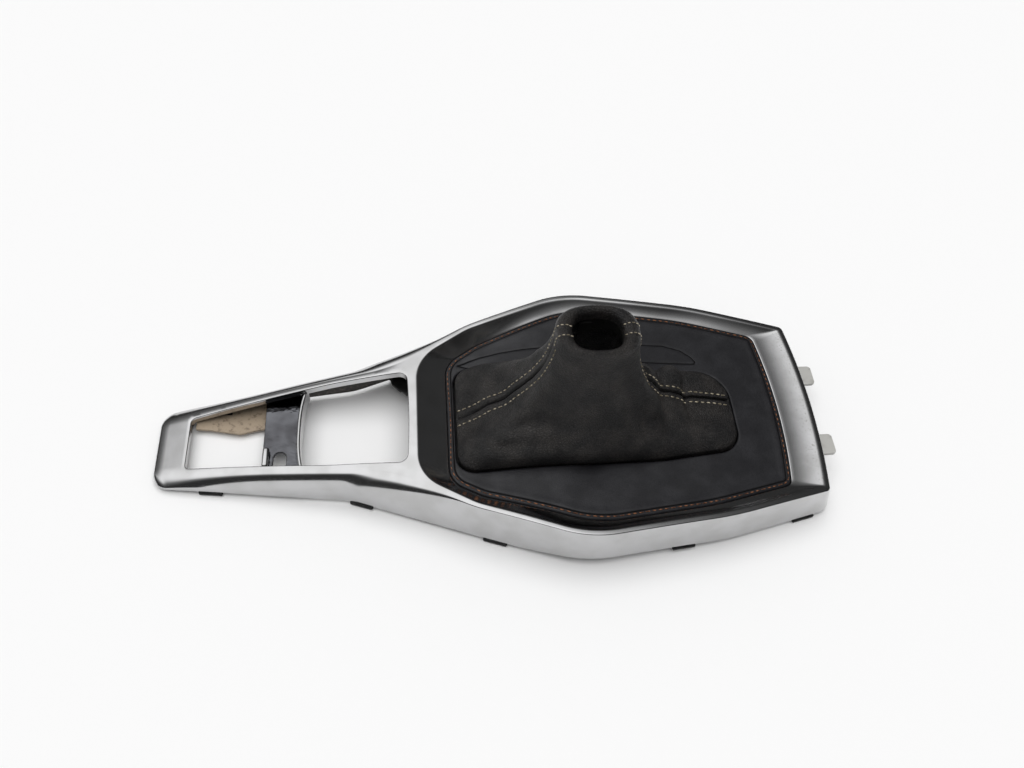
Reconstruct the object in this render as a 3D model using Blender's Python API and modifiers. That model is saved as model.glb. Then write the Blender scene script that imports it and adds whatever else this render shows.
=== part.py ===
"""Gear shift surround of a centre console, lying on its clips with its top facing up.

A plated bezel with a long neck holds a leather panel, and a leather gaiter rises through
the panel to the collar that the lever's knob clips into. Metres, +Z up. X runs along the
bezel from the neck to the wide end, and the part is symmetric about the plane Y = 0.
Stations along the bezel are distances from the neck's end.
"""
import bpy
import bmesh
import math
from mathutils import Vector
from mathutils.geometry import delaunay_2d_cdt

# Overall sizes: the neck's end, the wide end's crest and the reach of the tongues past it
NECK_END = 0.0030
BEZEL_LENGTH = 0.4594
TONGUE_REACH = 0.0105
CLEAR = 0.0003

# Crown line of the bezel: its height along the length
CROWN_STATION = 0.270
CROWN_HEIGHT = 0.0425
DROP_AT_NECK = 0.0365
DROP_AT_WIDE_END = 0.0103
CROWN_POWER = 1.85

# Lower rim
CLIP_REACH = 0.0035
RIM_RISE = 0.0057
RIM_RISE_START = 0.236
RIM_RISE_PEAK = 0.294
RIM_RISE_END = 0.426

# Bezel wall and the rounded shoulder between the crown fold and the side wall
BEZEL_WALL = 0.0024
SHOULDER_NECK_END = 0.0022
SHOULDER_NECK = 0.0110
SHOULDER_WIDE = 0.0013
SHOULDER_FULL_STATION = 0.090
SHOULDER_FADE_START = 0.172
SHOULDER_FADE_END = 0.232
SHOULDER_SHARE_WIDE = 0.12
SHOULDER_STEPS = 4

# Half outline of the crown fold: station, half width, corner radius
FOLD_END = 0.0045
FOLD_CORNERS = (
    (0.0045, 0.0223, 0.006),
    (0.1670, 0.0412, 0.085),
    (0.2190, 0.0738, 0.045),
    (0.2900, 0.1003, 0.075),
    (0.3850, 0.0873, 0.250),
    (0.4538, 0.0692, 0.003),
)
END_BULGE = 0.0049

# Half outline of the lower rim, with the same corners
RIM_CORNERS = (
    (NECK_END, 0.0294, 0.012),
    (0.1360, 0.0455, 0.045),
    (0.2250, 0.0777, 0.120),
    (0.2905, 0.1008, 0.075),
    (0.3853, 0.0878, 0.250),
    (0.4625, 0.0686, 0.009),
)

# Window that the neck frames
WINDOW_LEFT = 0.0248
WINDOW_RIGHT = 0.1769
WINDOW_CORNERS = (
    (0.0248, 0.0208, 0.005),
    (0.1250, 0.0336, 0.150),
    (0.1769, 0.0374, 0.0065),
)
WINDOW_BULGE = 0.0012
WINDOW_LIP = 0.0008
WINDOW_FLANGE = 0.0050

# Land of the crest, and the dish that falls from it to the leather
SADDLE_WIDTH = 0.0052
LAND_WIDTH = 0.0037
LAND_WIDTH_END = 0.0027
DISH_WIDTH_SADDLE = 0.0198
DISH_WIDTH_FRONT = 0.0098
DISH_WIDTH_MID = 0.0078
DISH_WIDTH_REAR = 0.0086
DISH_WIDTH_END = 0.0205
DISH_LEFT_RADIUS = 0.030
DISH_INNER_LEFT_RADIUS = 0.019
DISH_END_RADIUS = 0.0015
DISH_INNER_RIGHT_RADIUS = 0.006
DISH_DROP = 0.0048
DISH_DROP_SADDLE = 0.0110
DISH_DROP_FADE = 0.080
DISH_HOLLOW = 0.0006
DISH_FLANGE = 0.0045

# Bridge between the two windows
BRIDGE_LEFT = 0.0770
BRIDGE_RIGHT = 0.1022
BRIDGE_DROP = 0.0095
BRIDGE_THICK = 0.0025
BRIDGE_HOLE_STATION = 0.0889
BRIDGE_HOLE_WIDTH = 0.0088
BRIDGE_HOLE_REACH = 0.0110
BRIDGE_HOLE_DEPTH = 0.0150
RIDGE_THICK = 0.0024
RIDGE_DROP = 0.0022
RIDGE_BOW = 0.0035
BRIDGE_BAR_WIDTH = 0.0045
BRIDGE_BAR_LENGTH = 0.0150
BRIDGE_BAR_HEIGHT = 0.0030

# Ledge inside the far side of the narrow window: station and half width of its free edge
LEDGE_HEIGHT = 0.0060
LEDGE_THICK = 0.0020
NOTCH_GAP = 0.0008
NOTCH_DEPTH = 0.0070
LEDGE_EDGE = ((0.0275, 0.0158), (0.0370, 0.0147), (0.0584, 0.0103), (0.0700, 0.0133), (0.0768, 0.0137))

# Gusset in the far corner of the wide window: station and half width of its free edge
GUSSET_HEIGHT = 0.0168
GUSSET_THICK = 0.0020
GUSSET_EDGE = ((0.1649, 0.0411), (0.1706, 0.0345), (0.1721, 0.0345), (0.1749, 0.0314), (0.1800, 0.0310))

# Locating tongues on the wide end
TONGUE_Y = 0.0293
TONGUE_WIDTH = 0.0160
TONGUE_THICK = 0.0026
TONGUE_HEIGHT = 0.0263
TONGUE_STEP = 0.0020

# Clip towers inside the long sides, and the clips on them
NEAR_CLIP_STATIONS = (0.0424, 0.1436, 0.2319, 0.3566, 0.4434)
FAR_CLIP_STATIONS = (0.0424, 0.1700, 0.2319, 0.3566, 0.4434)
CLIP_WIDTH = 0.0172
CLIP_SHEET = 0.0010
TAB_WIDTH = 0.0140
TAB_THICK = 0.0022
TAB_INSET = 0.0010
TAB_REACH = 0.0020
TAB_ROOT = 0.0100
TAB_STEP = 0.0006
CLIP_GRIP = 0.0065
CLIP_FLARE = 0.0011

# Leather panel and its carrier
PANEL_GAP = 0.0004
LEATHER = 0.0013
LEATHER_PROUD = 0.0007
LEATHER_ROUND = 0.0012
LEATHER_TURN = 0.0034
CARRIER_WALL = 0.0022
CARRIER_LIP = 0.0060
CARRIER_RIB = 0.0012
HOLE_LEFT = 0.2084
HOLE_NEAR_CORNERS = (
    (0.2084, 0.0430, 0.014),
    (0.2620, 0.0445, 0.200),
    (0.3030, 0.0447, 0.200),
    (0.3450, 0.0435, 0.100),
    (0.4020, 0.0352, 0.018),
)
HOLE_FAR_CORNERS = (
    (0.2084, 0.0425, 0.012),
    (0.2700, 0.0375, 0.200),
    (0.3070, 0.0338, 0.200),
    (0.3440, 0.0305, 0.200),
    (0.4020, 0.0290, 0.023),
)

# Gaiter and its collar
GAITER_SKIN = 0.0016
GAITER_INSET = 0.0012
GAITER_STEPS = 8
GAITER_ROLL = 0.0045
GAITER_TURN = 0.0090
SHELF_REACH = 0.55
SHELF_RISE = 0.14
SHELF_FALL = 0.95
SLOPE_REACH = 0.30
SLOPE_RISE = 0.16
SLOPE_FALL = 0.60
BELLY_REACH = -0.20
BELLY_RISE = 0.30
BELLY_FALL = 0.45
COLLAR_STATION = 0.2972
COLLAR_TOP = 0.1250
COLLAR_HALF_LENGTH = 0.0265
COLLAR_HALF_WIDTH = 0.0208
COLLAR_OPENING_LENGTH = 0.0158
COLLAR_OPENING_WIDTH = 0.0148
COLLAR_DEPTH = 0.0200
COLLAR_KEY_WIDTH = 0.0080
COLLAR_KEY_HEIGHT = 0.0085
FRAME_WIDTH = 0.0050
FRAME_WALL = 0.0020
FRAME_THICK = 0.0022
FRAME_TOP_DROP = 0.0026

# Screws
SCREW_SHANK = 0.0014
SCREW_HEAD = 0.0034
SCREW_HEAD_THICK = 0.0018
SCREW_LENGTH = 0.0075
FRAME_SCREW_LENGTH = 0.0068
SCREW_SIDES = 16
BOSS_RADIUS = 0.0036
EAR_THICK = 0.0022
EAR_RADIUS = 0.0052
BOSS_ROOT = 0.7
FRAME_SCREW_STATIONS = (0.2300, 0.3750)
SADDLE_SCREW_Y = 0.0260
SIDE_SCREW_STATION = 0.3320
SIDE_SCREW_GAP = 0.0036
REAR_SCREW_Y = 0.0300
REAR_SCREW_GAP = 0.0072

# Values worked out from the sizes above
LEFT_X = -(NECK_END + BEZEL_LENGTH + TONGUE_REACH) / 2


def smooth_step(value):
    """Ease from 0 to 1 as value goes from 0 to 1."""
    value = min(max(value, 0.0), 1.0)
    return value * value * (3 - 2 * value)


def crown(station):
    """Height of the crown line at a station."""
    if station < CROWN_STATION:
        share = (CROWN_STATION - station) / CROWN_STATION
        return CROWN_HEIGHT - DROP_AT_NECK * abs(share) ** CROWN_POWER
    share = (station - CROWN_STATION) / (BEZEL_LENGTH - CROWN_STATION)
    return CROWN_HEIGHT - DROP_AT_WIDE_END * share ** CROWN_POWER


def rim(station):
    """Height of the lower rim at a station."""
    rise = smooth_step((station - RIM_RISE_START) / (RIM_RISE_PEAK - RIM_RISE_START))
    fall = smooth_step((station - RIM_RISE_PEAK) / (RIM_RISE_END - RIM_RISE_PEAK))
    return CLIP_REACH + RIM_RISE * (rise - fall)


def shoulder_drop(station):
    """Height of the rounded shoulder at a station."""
    rise = smooth_step(station / SHOULDER_FULL_STATION)
    neck = SHOULDER_NECK_END + (SHOULDER_NECK - SHOULDER_NECK_END) * rise
    return neck + (SHOULDER_WIDE - neck) * shoulder_fade(station)


def shoulder_fade(station):
    """How far the neck's shoulder has given way to the wide part's upright wall, from 0 to 1."""
    return smooth_step((station - SHOULDER_FADE_START) / (SHOULDER_FADE_END - SHOULDER_FADE_START))


def dish_drop(station):
    """Depth of the dish's lower edge below the crown line."""
    start = WINDOW_RIGHT + SADDLE_WIDTH + DISH_WIDTH_SADDLE
    fade = smooth_step((station - start) / DISH_DROP_FADE)
    return DISH_DROP_SADDLE + (DISH_DROP - DISH_DROP_SADDLE) * fade


def dish_floor(station):
    """Height of the dish's lower edge."""
    return crown(station) - dish_drop(station)


def intersect(a, b, c, d):
    """Crossing point of the line through a and b with the line through c and d."""
    r = (b[0] - a[0], b[1] - a[1])
    s = (d[0] - c[0], d[1] - c[1])
    share = ((c[0] - a[0]) * s[1] - (c[1] - a[1]) * s[0]) / (r[0] * s[1] - r[1] * s[0])
    return (a[0] + r[0] * share, a[1] + r[1] * share)


def inset(left, corners, distances, radii):
    """Move each straight of a half outline inwards and give the new corners their radii.

    The half outline runs from (left, 0) over the corners to (last corner's station, 0).
    """
    points = [(left, 0.0)] + [c[:2] for c in corners] + [(corners[-1][0], 0.0)]
    moved = []
    for (a, b), distance in zip(zip(points, points[1:]), distances):
        along = Vector((b[0] - a[0], b[1] - a[1])).normalized()
        inwards = Vector((along.y, -along.x)) * distance
        moved.append(((a[0] + inwards.x, a[1] + inwards.y), (b[0] + inwards.x, b[1] + inwards.y)))
    result = []
    for (a, b), (c, d), radius in zip(moved, moved[1:], radii):
        x, y = intersect(a, b, c, d)
        result.append((x, y, radius))
    return tuple(result)


def half_path(left, corners, spans, arcs, bulge=0.0):
    """Half outline from (left, 0) round the corners back to Y = 0.

    Each corner is an arc of its radius, cut into its count of steps, and each straight is
    cut into its span's count. The last side bows out by bulge.
    """
    right = corners[-1][0]
    path = [Vector((left, 0.0))]
    nodes = [Vector((left, 0.0))] + [Vector(c[:2]) for c in corners] + [Vector((right, 0.0))]
    for index, (corner, steps) in enumerate(zip(corners, arcs)):
        here = nodes[index + 1]
        back = (nodes[index] - here).normalized()
        ahead = (nodes[index + 2] - here).normalized()
        turn = math.pi - back.angle(ahead)
        reach = corner[2] * math.tan(turn / 2)
        start = here + back * reach
        end = here + ahead * reach
        middle = (back + ahead).normalized()
        centre = here + middle * (corner[2] / math.cos(turn / 2))
        add_span(path, start, spans[index])
        first = start - centre
        angle = math.atan2(first.x * (end - centre).y - first.y * (end - centre).x,
                           first.dot(end - centre))
        for step in range(1, steps + 1):
            part = angle * step / steps
            path.append(centre + Vector((first.x * math.cos(part) - first.y * math.sin(part),
                                         first.x * math.sin(part) + first.y * math.cos(part))))
    add_span(path, nodes[-1], spans[-1])
    top = corners[-1][1]
    count = spans[-1] + arcs[-1]
    for point in path[-count:]:
        point.x += bulge * (1 - (point.y / top) ** 2)
    return [(p.x, p.y) for p in path]


def add_span(path, end, count):
    """Extend a path to end in count equal steps."""
    start = path[-1].copy()
    for step in range(1, count + 1):
        path.append(start.lerp(end, step / count))


def full_loop(half):
    """Close a half outline with its mirror image."""
    return half + [(x, -y) for x, y in half[-2:0:-1]]


def lift(loop, height):
    """Give each point of a loop its place in the model, with height as a function or list."""
    if callable(height):
        return [Vector((LEFT_X + x, y, height(x))) for x, y in loop]
    return [Vector((LEFT_X + x, y, z)) for (x, y), z in zip(loop, height)]


def material(name, colour, roughness, metallic=0.0):
    """Principled material in one plain colour."""
    mat = bpy.data.materials.new(name)
    mat.use_nodes = True
    shader = mat.node_tree.nodes["Principled BSDF"]
    shader.inputs["Base Color"].default_value = (*colour, 1.0)
    shader.inputs["Roughness"].default_value = roughness
    shader.inputs["Metallic"].default_value = metallic
    return mat


def new_object(name, bm, collection, mat=None):
    """Turn a bmesh into an object in a collection."""
    mesh = bpy.data.meshes.new(name)
    bm.to_mesh(mesh)
    bm.free()
    obj = bpy.data.objects.new(name, mesh)
    collection.objects.link(obj)
    if mat:
        mesh.materials.append(mat)
    return obj


def join_rings(bm, rings):
    """Skin neighbouring closed rings of equal count with quads and return the vertices."""
    rows = [[bm.verts.new(p) for p in ring] for ring in rings]
    for low, high in zip(rows, rows[1:]):
        count = len(low)
        for i in range(count):
            j = (i + 1) % count
            bm.faces.new((low[i], low[j], high[j], high[i]))
    return rows


def closed_tube(bm, rings):
    """Skin rings that go round a section and meet again, as a ring-shaped solid."""
    rows = join_rings(bm, rings)
    last = rows[-1]
    first = rows[0]
    count = len(first)
    for i in range(count):
        j = (i + 1) % count
        bm.faces.new((last[i], last[j], first[j], first[i]))
    bmesh.ops.recalc_face_normals(bm, faces=bm.faces)


def prism(name, outline, low, high, collection, mat=None):
    """Closed prism over an outline in X and Y, from one height to another."""
    bm = bmesh.new()
    bottom = [bm.verts.new((x, y, low)) for x, y in outline]
    top = [bm.verts.new((x, y, high)) for x, y in outline]
    count = len(outline)
    for i in range(count):
        j = (i + 1) % count
        bm.faces.new((bottom[i], bottom[j], top[j], top[i]))
    bm.faces.new(bottom[::-1])
    bm.faces.new(top)
    bmesh.ops.recalc_face_normals(bm, faces=bm.faces)
    return new_object(name, bm, collection, mat)


def box(name, low, high, collection, mat=None):
    """Closed box between two corners."""
    bm = bmesh.new()
    bmesh.ops.create_cube(bm, size=1.0)
    centre = (Vector(low) + Vector(high)) / 2
    size = Vector(high) - Vector(low)
    for vert in bm.verts:
        vert.co = Vector((vert.co.x * size.x, vert.co.y * size.y, vert.co.z * size.z)) + centre
    return new_object(name, bm, collection, mat)


def solidify(obj, thickness, offset):
    """Give an open sheet its wall."""
    mod = obj.modifiers.new("Wall", "SOLIDIFY")
    mod.thickness = thickness
    mod.offset = offset
    mod.use_even_offset = True
    mod.use_quality_normals = True
    return mod


def boolean(obj, cutter, operation):
    """Join a piece with another or cut it, with the other one kept as a guide."""
    mod = obj.modifiers.new(operation.title(), "BOOLEAN")
    mod.object = cutter
    mod.operation = operation
    mod.solver = "EXACT"
    cutter.hide_render = True
    cutter.display_type = "WIRE"
    return mod


def shade(obj, degrees=35):
    """Shade round pieces smooth and keep their sharp edges."""
    obj.data.shade_smooth()
    obj.data.set_sharp_from_angle(angle=math.radians(degrees))


# The long side of each outline has the same steps, so that neighbouring rings match.
FOLD_SPANS = (4, 11, 2, 5, 5, 4, 6)
FOLD_ARCS = (3, 4, 3, 5, 3, 3)
DISH_SPANS = (4, 2, 4, 5, 4, 6)
DISH_ARCS = (5, 3, 5, 3, 4)
WINDOW_SPANS = (3, 8, 4, 4)
WINDOW_ARCS = (3, 2, 3)


def dish_corners():
    """Corners of the crest's inner fold and of the dish's lower edge."""
    start = WINDOW_RIGHT + WINDOW_BULGE + SADDLE_WIDTH
    before, after = FOLD_CORNERS[1:3]
    share = (start - before[0]) / (after[0] - before[0])
    outer = ((start, before[1] + (after[1] - before[1]) * share, 0.0),) + FOLD_CORNERS[2:]
    radii = (DISH_LEFT_RADIUS, *(c[2] for c in FOLD_CORNERS[2:5]), DISH_END_RADIUS)
    upper = inset(start, outer, (0.0, *[LAND_WIDTH] * 4, LAND_WIDTH_END), radii)
    widths = (DISH_WIDTH_SADDLE, DISH_WIDTH_FRONT, DISH_WIDTH_FRONT, DISH_WIDTH_MID, DISH_WIDTH_REAR, DISH_WIDTH_END)
    radii = (DISH_INNER_LEFT_RADIUS, *(c[2] for c in FOLD_CORNERS[2:5]), DISH_INNER_RIGHT_RADIUS)
    return upper, inset(start, upper, widths, radii)


def panel_corners(distance):
    """Corners of the dish's lower edge, moved inwards by a distance."""
    lower = dish_corners()[1]
    radii = [max(c[2] - distance, 0.001) for c in lower]
    return inset(lower[0][0], lower, [distance] * 6, radii)


def dish_loop(corners):
    """Loop round the panel's opening."""
    return full_loop(half_path(corners[0][0], corners, DISH_SPANS, DISH_ARCS, END_BULGE))


def land_faces(bm, outer, holes):
    """Fill the land between the outer fold and the holes' edges."""
    rings = [outer] + holes
    verts = [v for ring in rings for v in ring]
    edges = []
    start = 0
    for ring in rings:
        count = len(ring)
        edges += [(start + i, start + (i + 1) % count) for i in range(count)]
        start += count
    flat = [Vector((v.co.x, v.co.y)) for v in verts]
    result = delaunay_2d_cdt(flat, edges, [], 1, 1e-9)
    origin = result[3]
    for face in result[2]:
        corners = [verts[origin[i][0]] for i in face]
        x = sum(c.co.x for c in corners) / 3
        y = sum(c.co.y for c in corners) / 3
        if not any(inside((x, y), [v.co for v in hole]) for hole in holes):
            bm.faces.new(corners)


def inside(point, ring):
    """Whether a point in X and Y lies within a ring."""
    found = False
    for a, b in zip(ring, ring[1:] + ring[:1]):
        if (a[1] > point[1]) != (b[1] > point[1]):
            cross = a[0] + (point[1] - a[1]) * (b[0] - a[0]) / (b[1] - a[1])
            if point[0] < cross:
                found = not found
    return found


def wall_rings():
    """Rings from the crown fold over the rounded shoulder and down the wall to the rim."""
    fold = full_loop(half_path(FOLD_END, FOLD_CORNERS, FOLD_SPANS, FOLD_ARCS, END_BULGE))
    foot = full_loop(half_path(NECK_END, RIM_CORNERS, FOLD_SPANS, FOLD_ARCS, END_BULGE))
    rings = []
    for step in range(SHOULDER_STEPS + 1):
        angle = math.pi / 2 * step / SHOULDER_STEPS
        shares = [math.sin(angle) * (1 - (1 - SHOULDER_SHARE_WIDE) * shoulder_fade(a[0])) for a in fold]
        loop = [(a[0] + (b[0] - a[0]) * share, a[1] + (b[1] - a[1]) * share)
                for a, b, share in zip(fold, foot, shares)]
        heights = [crown(a[0]) - shoulder_drop(a[0]) * (1 - math.cos(angle)) for a in fold]
        rings.append(lift(loop, heights))
    rings.append(lift(foot, rim))
    return rings


def bezel_sheet(collection, mat):
    """Visible skin of the bezel, with its wall given by a modifier."""
    bm = bmesh.new()
    walls = join_rings(bm, wall_rings())
    upper, lower = dish_corners()
    upper_loop = dish_loop(upper)
    lower_loop = dish_loop(lower)
    middle = [((a[0] + b[0]) / 2, (a[1] + b[1]) / 2) for a, b in zip(upper_loop, lower_loop)]
    middle_heights = [(crown(a[0]) + dish_floor(b[0])) / 2 - DISH_HOLLOW
                      for a, b in zip(upper_loop, lower_loop)]
    flange = [Vector((p.x, p.y, p.z - DISH_FLANGE)) for p in lift(lower_loop, dish_floor)]
    dish = join_rings(bm, [lift(upper_loop, crown), lift(middle, middle_heights),
                           lift(lower_loop, dish_floor), flange])
    window = window_rings()
    lips = join_rings(bm, window)
    land_faces(bm, walls[0], [dish[0], lips[0]])
    bmesh.ops.recalc_face_normals(bm, faces=bm.faces)
    top = max(bm.faces, key=lambda f: f.calc_center_median().z)
    if top.normal.z < 0:
        bmesh.ops.reverse_faces(bm, faces=bm.faces)
    obj = new_object("bezel", bm, collection, mat)
    solidify(obj, BEZEL_WALL, -1.0)
    return obj


def window_loop(shrink):
    """Loop of the neck's window, made smaller by shrink."""
    radii = [max(c[2] - shrink, 0.001) for c in WINDOW_CORNERS]
    corners = inset(WINDOW_LEFT, WINDOW_CORNERS, [shrink] * 4, radii)
    return full_loop(half_path(corners[0][0], corners, WINDOW_SPANS, WINDOW_ARCS, WINDOW_BULGE))


def window_rings():
    """Rings of the window's rounded lip and its flange."""
    rings = [lift(window_loop(0.0), crown)]
    for share, drop in ((0.7, 0.3), (1.0, 1.0)):
        loop = window_loop(WINDOW_LIP * share)
        rings.append([Vector((p.x, p.y, p.z - WINDOW_LIP * drop)) for p in lift(loop, crown)])
    loop = window_loop(WINDOW_LIP)
    rings.append([Vector((p.x, p.y, p.z - WINDOW_FLANGE)) for p in lift(loop, crown)])
    return rings


def fold_half_width(station):
    """Half width of the crown fold at a station, along its long side."""
    return side_width(FOLD_CORNERS, station)


def rim_half_width(station):
    """Half width of the lower rim at a station, along its long side."""
    return side_width(RIM_CORNERS, station)


def side_width(corners, station):
    """Half width of a filleted half outline at a station."""
    return path_side(half_path(corners[0][0], corners, FOLD_SPANS, FOLD_ARCS, 0.0), station)


def path_side(path, station):
    """Half width of a path at a station, along its long side."""
    for a, b in zip(path, path[1:]):
        if a[0] <= station <= b[0] and b[0] > a[0]:
            return a[1] + (b[1] - a[1]) * (station - a[0]) / (b[0] - a[0])
    return max(p[1] for p in path)


def add_bridge(bezel, guides):
    """Join the bridge between the windows to the bezel: its plate, ridge, bar and hole."""
    middle = (BRIDGE_LEFT + BRIDGE_RIGHT) / 2
    level = crown(middle) - BRIDGE_DROP
    reach = fold_half_width(middle) + 0.0035
    plate = bend_slab("bridge_plate", BRIDGE_LEFT, BRIDGE_RIGHT, reach,
                      level, BRIDGE_THICK, guides)
    boolean(bezel, plate, "UNION")
    ridge = ridge_wall(level, guides)
    boolean(bezel, ridge, "UNION")
    bar_x = LEFT_X + BRIDGE_LEFT + 0.0004
    bar = box("bridge_bar", (bar_x, -0.0240, level - BRIDGE_THICK / 2),
              (bar_x + BRIDGE_BAR_WIDTH, -0.0240 + BRIDGE_BAR_LENGTH, level + BRIDGE_BAR_HEIGHT), guides)
    round_top(bar, BRIDGE_BAR_HEIGHT / 2)
    boolean(bezel, bar, "UNION")
    hole_x = LEFT_X + BRIDGE_HOLE_STATION
    half = BRIDGE_HOLE_WIDTH / 2
    outline = [(hole_x - half, -BRIDGE_HOLE_REACH - BRIDGE_HOLE_DEPTH),
               (hole_x + half, -BRIDGE_HOLE_REACH - BRIDGE_HOLE_DEPTH)]
    for step in range(9):
        angle = math.pi * step / 8
        outline.append((hole_x + half * math.cos(angle), -BRIDGE_HOLE_REACH - half + half * math.sin(angle)))
    hole = prism("bridge_hole", outline, level - 0.004, level + 0.0035, guides)
    boolean(bezel, hole, "DIFFERENCE")


def add_ledge(bezel, name, edge, notches, height, thick, guides):
    """Join a level web to the far wall, out to a free edge, with notches for clips."""
    root = [(station, wall_middle(station)) for station, _ in edge]
    for station in notches:
        low = station - CLIP_WIDTH / 2 - NOTCH_GAP
        high = station + CLIP_WIDTH / 2 + NOTCH_GAP
        depth = wall_middle(low) - NOTCH_DEPTH
        root = [p for p in root if not low < p[0] < high]
        root += [(low, wall_middle(low)), (low + CLEAR, depth), (high - CLEAR, depth), (high, wall_middle(high))]
    outline = [(LEFT_X + x, y) for x, y in list(edge) + sorted(root, reverse=True)]
    boolean(bezel, prism(name, outline, height - thick, height, guides), "UNION")


def wall_middle(station):
    """Half width of the middle of the bezel's wall at a station, down at the rim."""
    return rim_half_width(station) - BEZEL_WALL / 2


def bend_slab(name, left, right, reach, level, thick, guides):
    """Slab across the neck that dips a little in its middle."""
    bm = bmesh.new()
    rings = []
    steps = 8
    for i in range(steps + 1):
        y = -reach + 2 * reach * i / steps
        dip = 0.0015 * (1 - (y / reach) ** 2)
        top = level - dip
        rings.append([Vector((LEFT_X + left, y, top)), Vector((LEFT_X + right, y, top)),
                      Vector((LEFT_X + right, y, top - thick)), Vector((LEFT_X + left, y, top - thick))])
    rows = join_rings(bm, rings)
    bm.faces.new(rows[0])
    bm.faces.new(rows[-1][::-1])
    bmesh.ops.recalc_face_normals(bm, faces=bm.faces)
    return new_object(name, bm, guides)


def ridge_wall(level, guides):
    """Upright wall along the big window's left edge, bowed to meet the neck's sides."""
    bm = bmesh.new()
    rings = []
    steps = 10
    reach = fold_half_width(BRIDGE_RIGHT) - 0.0012
    top = crown(BRIDGE_RIGHT) - RIDGE_DROP
    for i in range(steps + 1):
        y = -reach + 2 * reach * i / steps
        bow = RIDGE_BOW * abs(y / reach) ** 4
        x = LEFT_X + BRIDGE_RIGHT + bow
        half = RIDGE_THICK / 2
        rings.append([Vector((x - half, y, top - 0.0006)), Vector((x - half / 2, y, top)),
                      Vector((x + half / 2, y, top)), Vector((x + half, y, top - 0.0006)),
                      Vector((x + half, y, level - BRIDGE_THICK)),
                      Vector((x - half, y, level - BRIDGE_THICK))])
    rows = join_rings(bm, rings)
    bm.faces.new(rows[0])
    bm.faces.new(rows[-1][::-1])
    bmesh.ops.recalc_face_normals(bm, faces=bm.faces)
    return new_object("ridge", bm, guides)


def round_top(obj, width):
    """Round a box's upper edges."""
    mod = obj.modifiers.new("Round", "BEVEL")
    mod.width = width
    mod.segments = 2
    mod.limit_method = "ANGLE"


def add_tongues(bezel, guides):
    """Join the two locating tongues to the wide end."""
    start = LEFT_X + BEZEL_LENGTH - 0.004
    tip = LEFT_X + BEZEL_LENGTH + TONGUE_REACH
    for side in (-1, 1):
        centre = side * TONGUE_Y
        half = TONGUE_WIDTH / 2
        radius = 0.0028
        outline = [(start, centre - half), (tip - radius, centre - half)]
        for step in range(1, 4):
            angle = math.pi / 2 * step / 4
            outline.append((tip - radius + radius * math.sin(angle), centre - half + radius * (1 - math.cos(angle))))
        outline += [(tip, centre - half + radius), (tip, centre + half - radius)]
        for step in range(1, 4):
            angle = math.pi / 2 * step / 4
            outline.append((tip - radius * (1 - math.cos(angle)), centre + half - radius + radius * math.sin(angle)))
        outline += [(tip - radius, centre + half), (start, centre + half)]
        low = TONGUE_HEIGHT - TONGUE_THICK
        tongue = prism(f"tongue_{side}", outline, low, TONGUE_HEIGHT, guides)
        boolean(bezel, tongue, "UNION")
        rib = box(f"tongue_rib_{side}", (start, centre - 0.001, low - TONGUE_STEP - 0.002),
                  (start + 0.009, centre + 0.001, low + 0.0005), guides)
        boolean(bezel, rib, "UNION")


def add_posts(bezel, guides):
    """Join the clips' tabs and the carrier's screw bosses to the bezel, and bore the bosses."""
    posts = bmesh.new()
    add_tabs(posts)
    bores = bmesh.new()
    for x, y, share in panel_screw_places():
        low = boss_foot(x)
        add_post(posts, x, y, BOSS_RADIUS, low, boss_root(x, share))
        add_post(bores, x, y, SCREW_SHANK + CLEAR, low - 0.002, low + SCREW_LENGTH - EAR_THICK)
    boolean(bezel, new_object("bezel_posts", posts, guides), "UNION")
    boolean(bezel, new_object("bezel_bores", bores, guides), "DIFFERENCE")


def boss_foot(x):
    """Height of a boss's lower face, clear of the sloping lip below it."""
    return max(lip_top(x - BOSS_RADIUS), lip_top(x + BOSS_RADIUS)) + CLEAR


def boss_root(x, share):
    """Height inside the dish's wall where a boss takes root, at a share of the dish's width."""
    floor = dish_floor(x - LEFT_X)
    return floor + (crown(x - LEFT_X) - floor) * share - BEZEL_WALL * BOSS_ROOT


def side_frame(station, side):
    """Point on the rim's outer line at a station, with the directions along and into it."""
    step = 0.004
    before = rim_half_width(station - step)
    after = rim_half_width(station + step)
    rise = rim(station + step) - rim(station - step)
    inwards = Vector((after - before, -side * 2 * step, 0.0)).normalized()
    along = Vector((2 * step, side * (after - before), rise)).normalized()
    return Vector((LEFT_X + station, side * rim_half_width(station), rim(station))), along, inwards


def side_prism(bm, station, side, width, section):
    """Add a prism along the rim's side, from a section of depths inwards and heights."""
    origin, along, inwards = side_frame(station, side)
    rows = []
    for end in (-width / 2, width / 2):
        rows.append([bm.verts.new(origin + along * end + inwards * d + Vector((0, 0, h)))
                     for d, h in section])
    count = len(section)
    faces = [bm.faces.new(rows[0]), bm.faces.new(rows[1][::-1])]
    for i in range(count):
        j = (i + 1) % count
        faces.append(bm.faces.new((rows[0][j], rows[0][i], rows[1][i], rows[1][j])))
    bmesh.ops.recalc_face_normals(bm, faces=faces)


def tab_depth():
    """Depth of a tab's outer face behind the rim's outer line."""
    return TAB_INSET + CLIP_SHEET + CLEAR


def add_tabs(bm):
    """Add the tab of every clip, which stands down from the inner side of the wall."""
    outer = tab_depth()
    inner = outer + TAB_THICK
    root = BEZEL_WALL / 2
    section = ((root, TAB_ROOT), (inner, TAB_ROOT), (inner, -TAB_REACH + 0.0005), (inner - 0.0005, -TAB_REACH),
               (outer + 0.0005, -TAB_REACH), (outer, -TAB_REACH + 0.0005), (outer, TAB_STEP), (root, TAB_STEP))
    for stations, side in ((NEAR_CLIP_STATIONS, -1), (FAR_CLIP_STATIONS, 1)):
        for station in stations:
            side_prism(bm, station, side, TAB_WIDTH, section)


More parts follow.
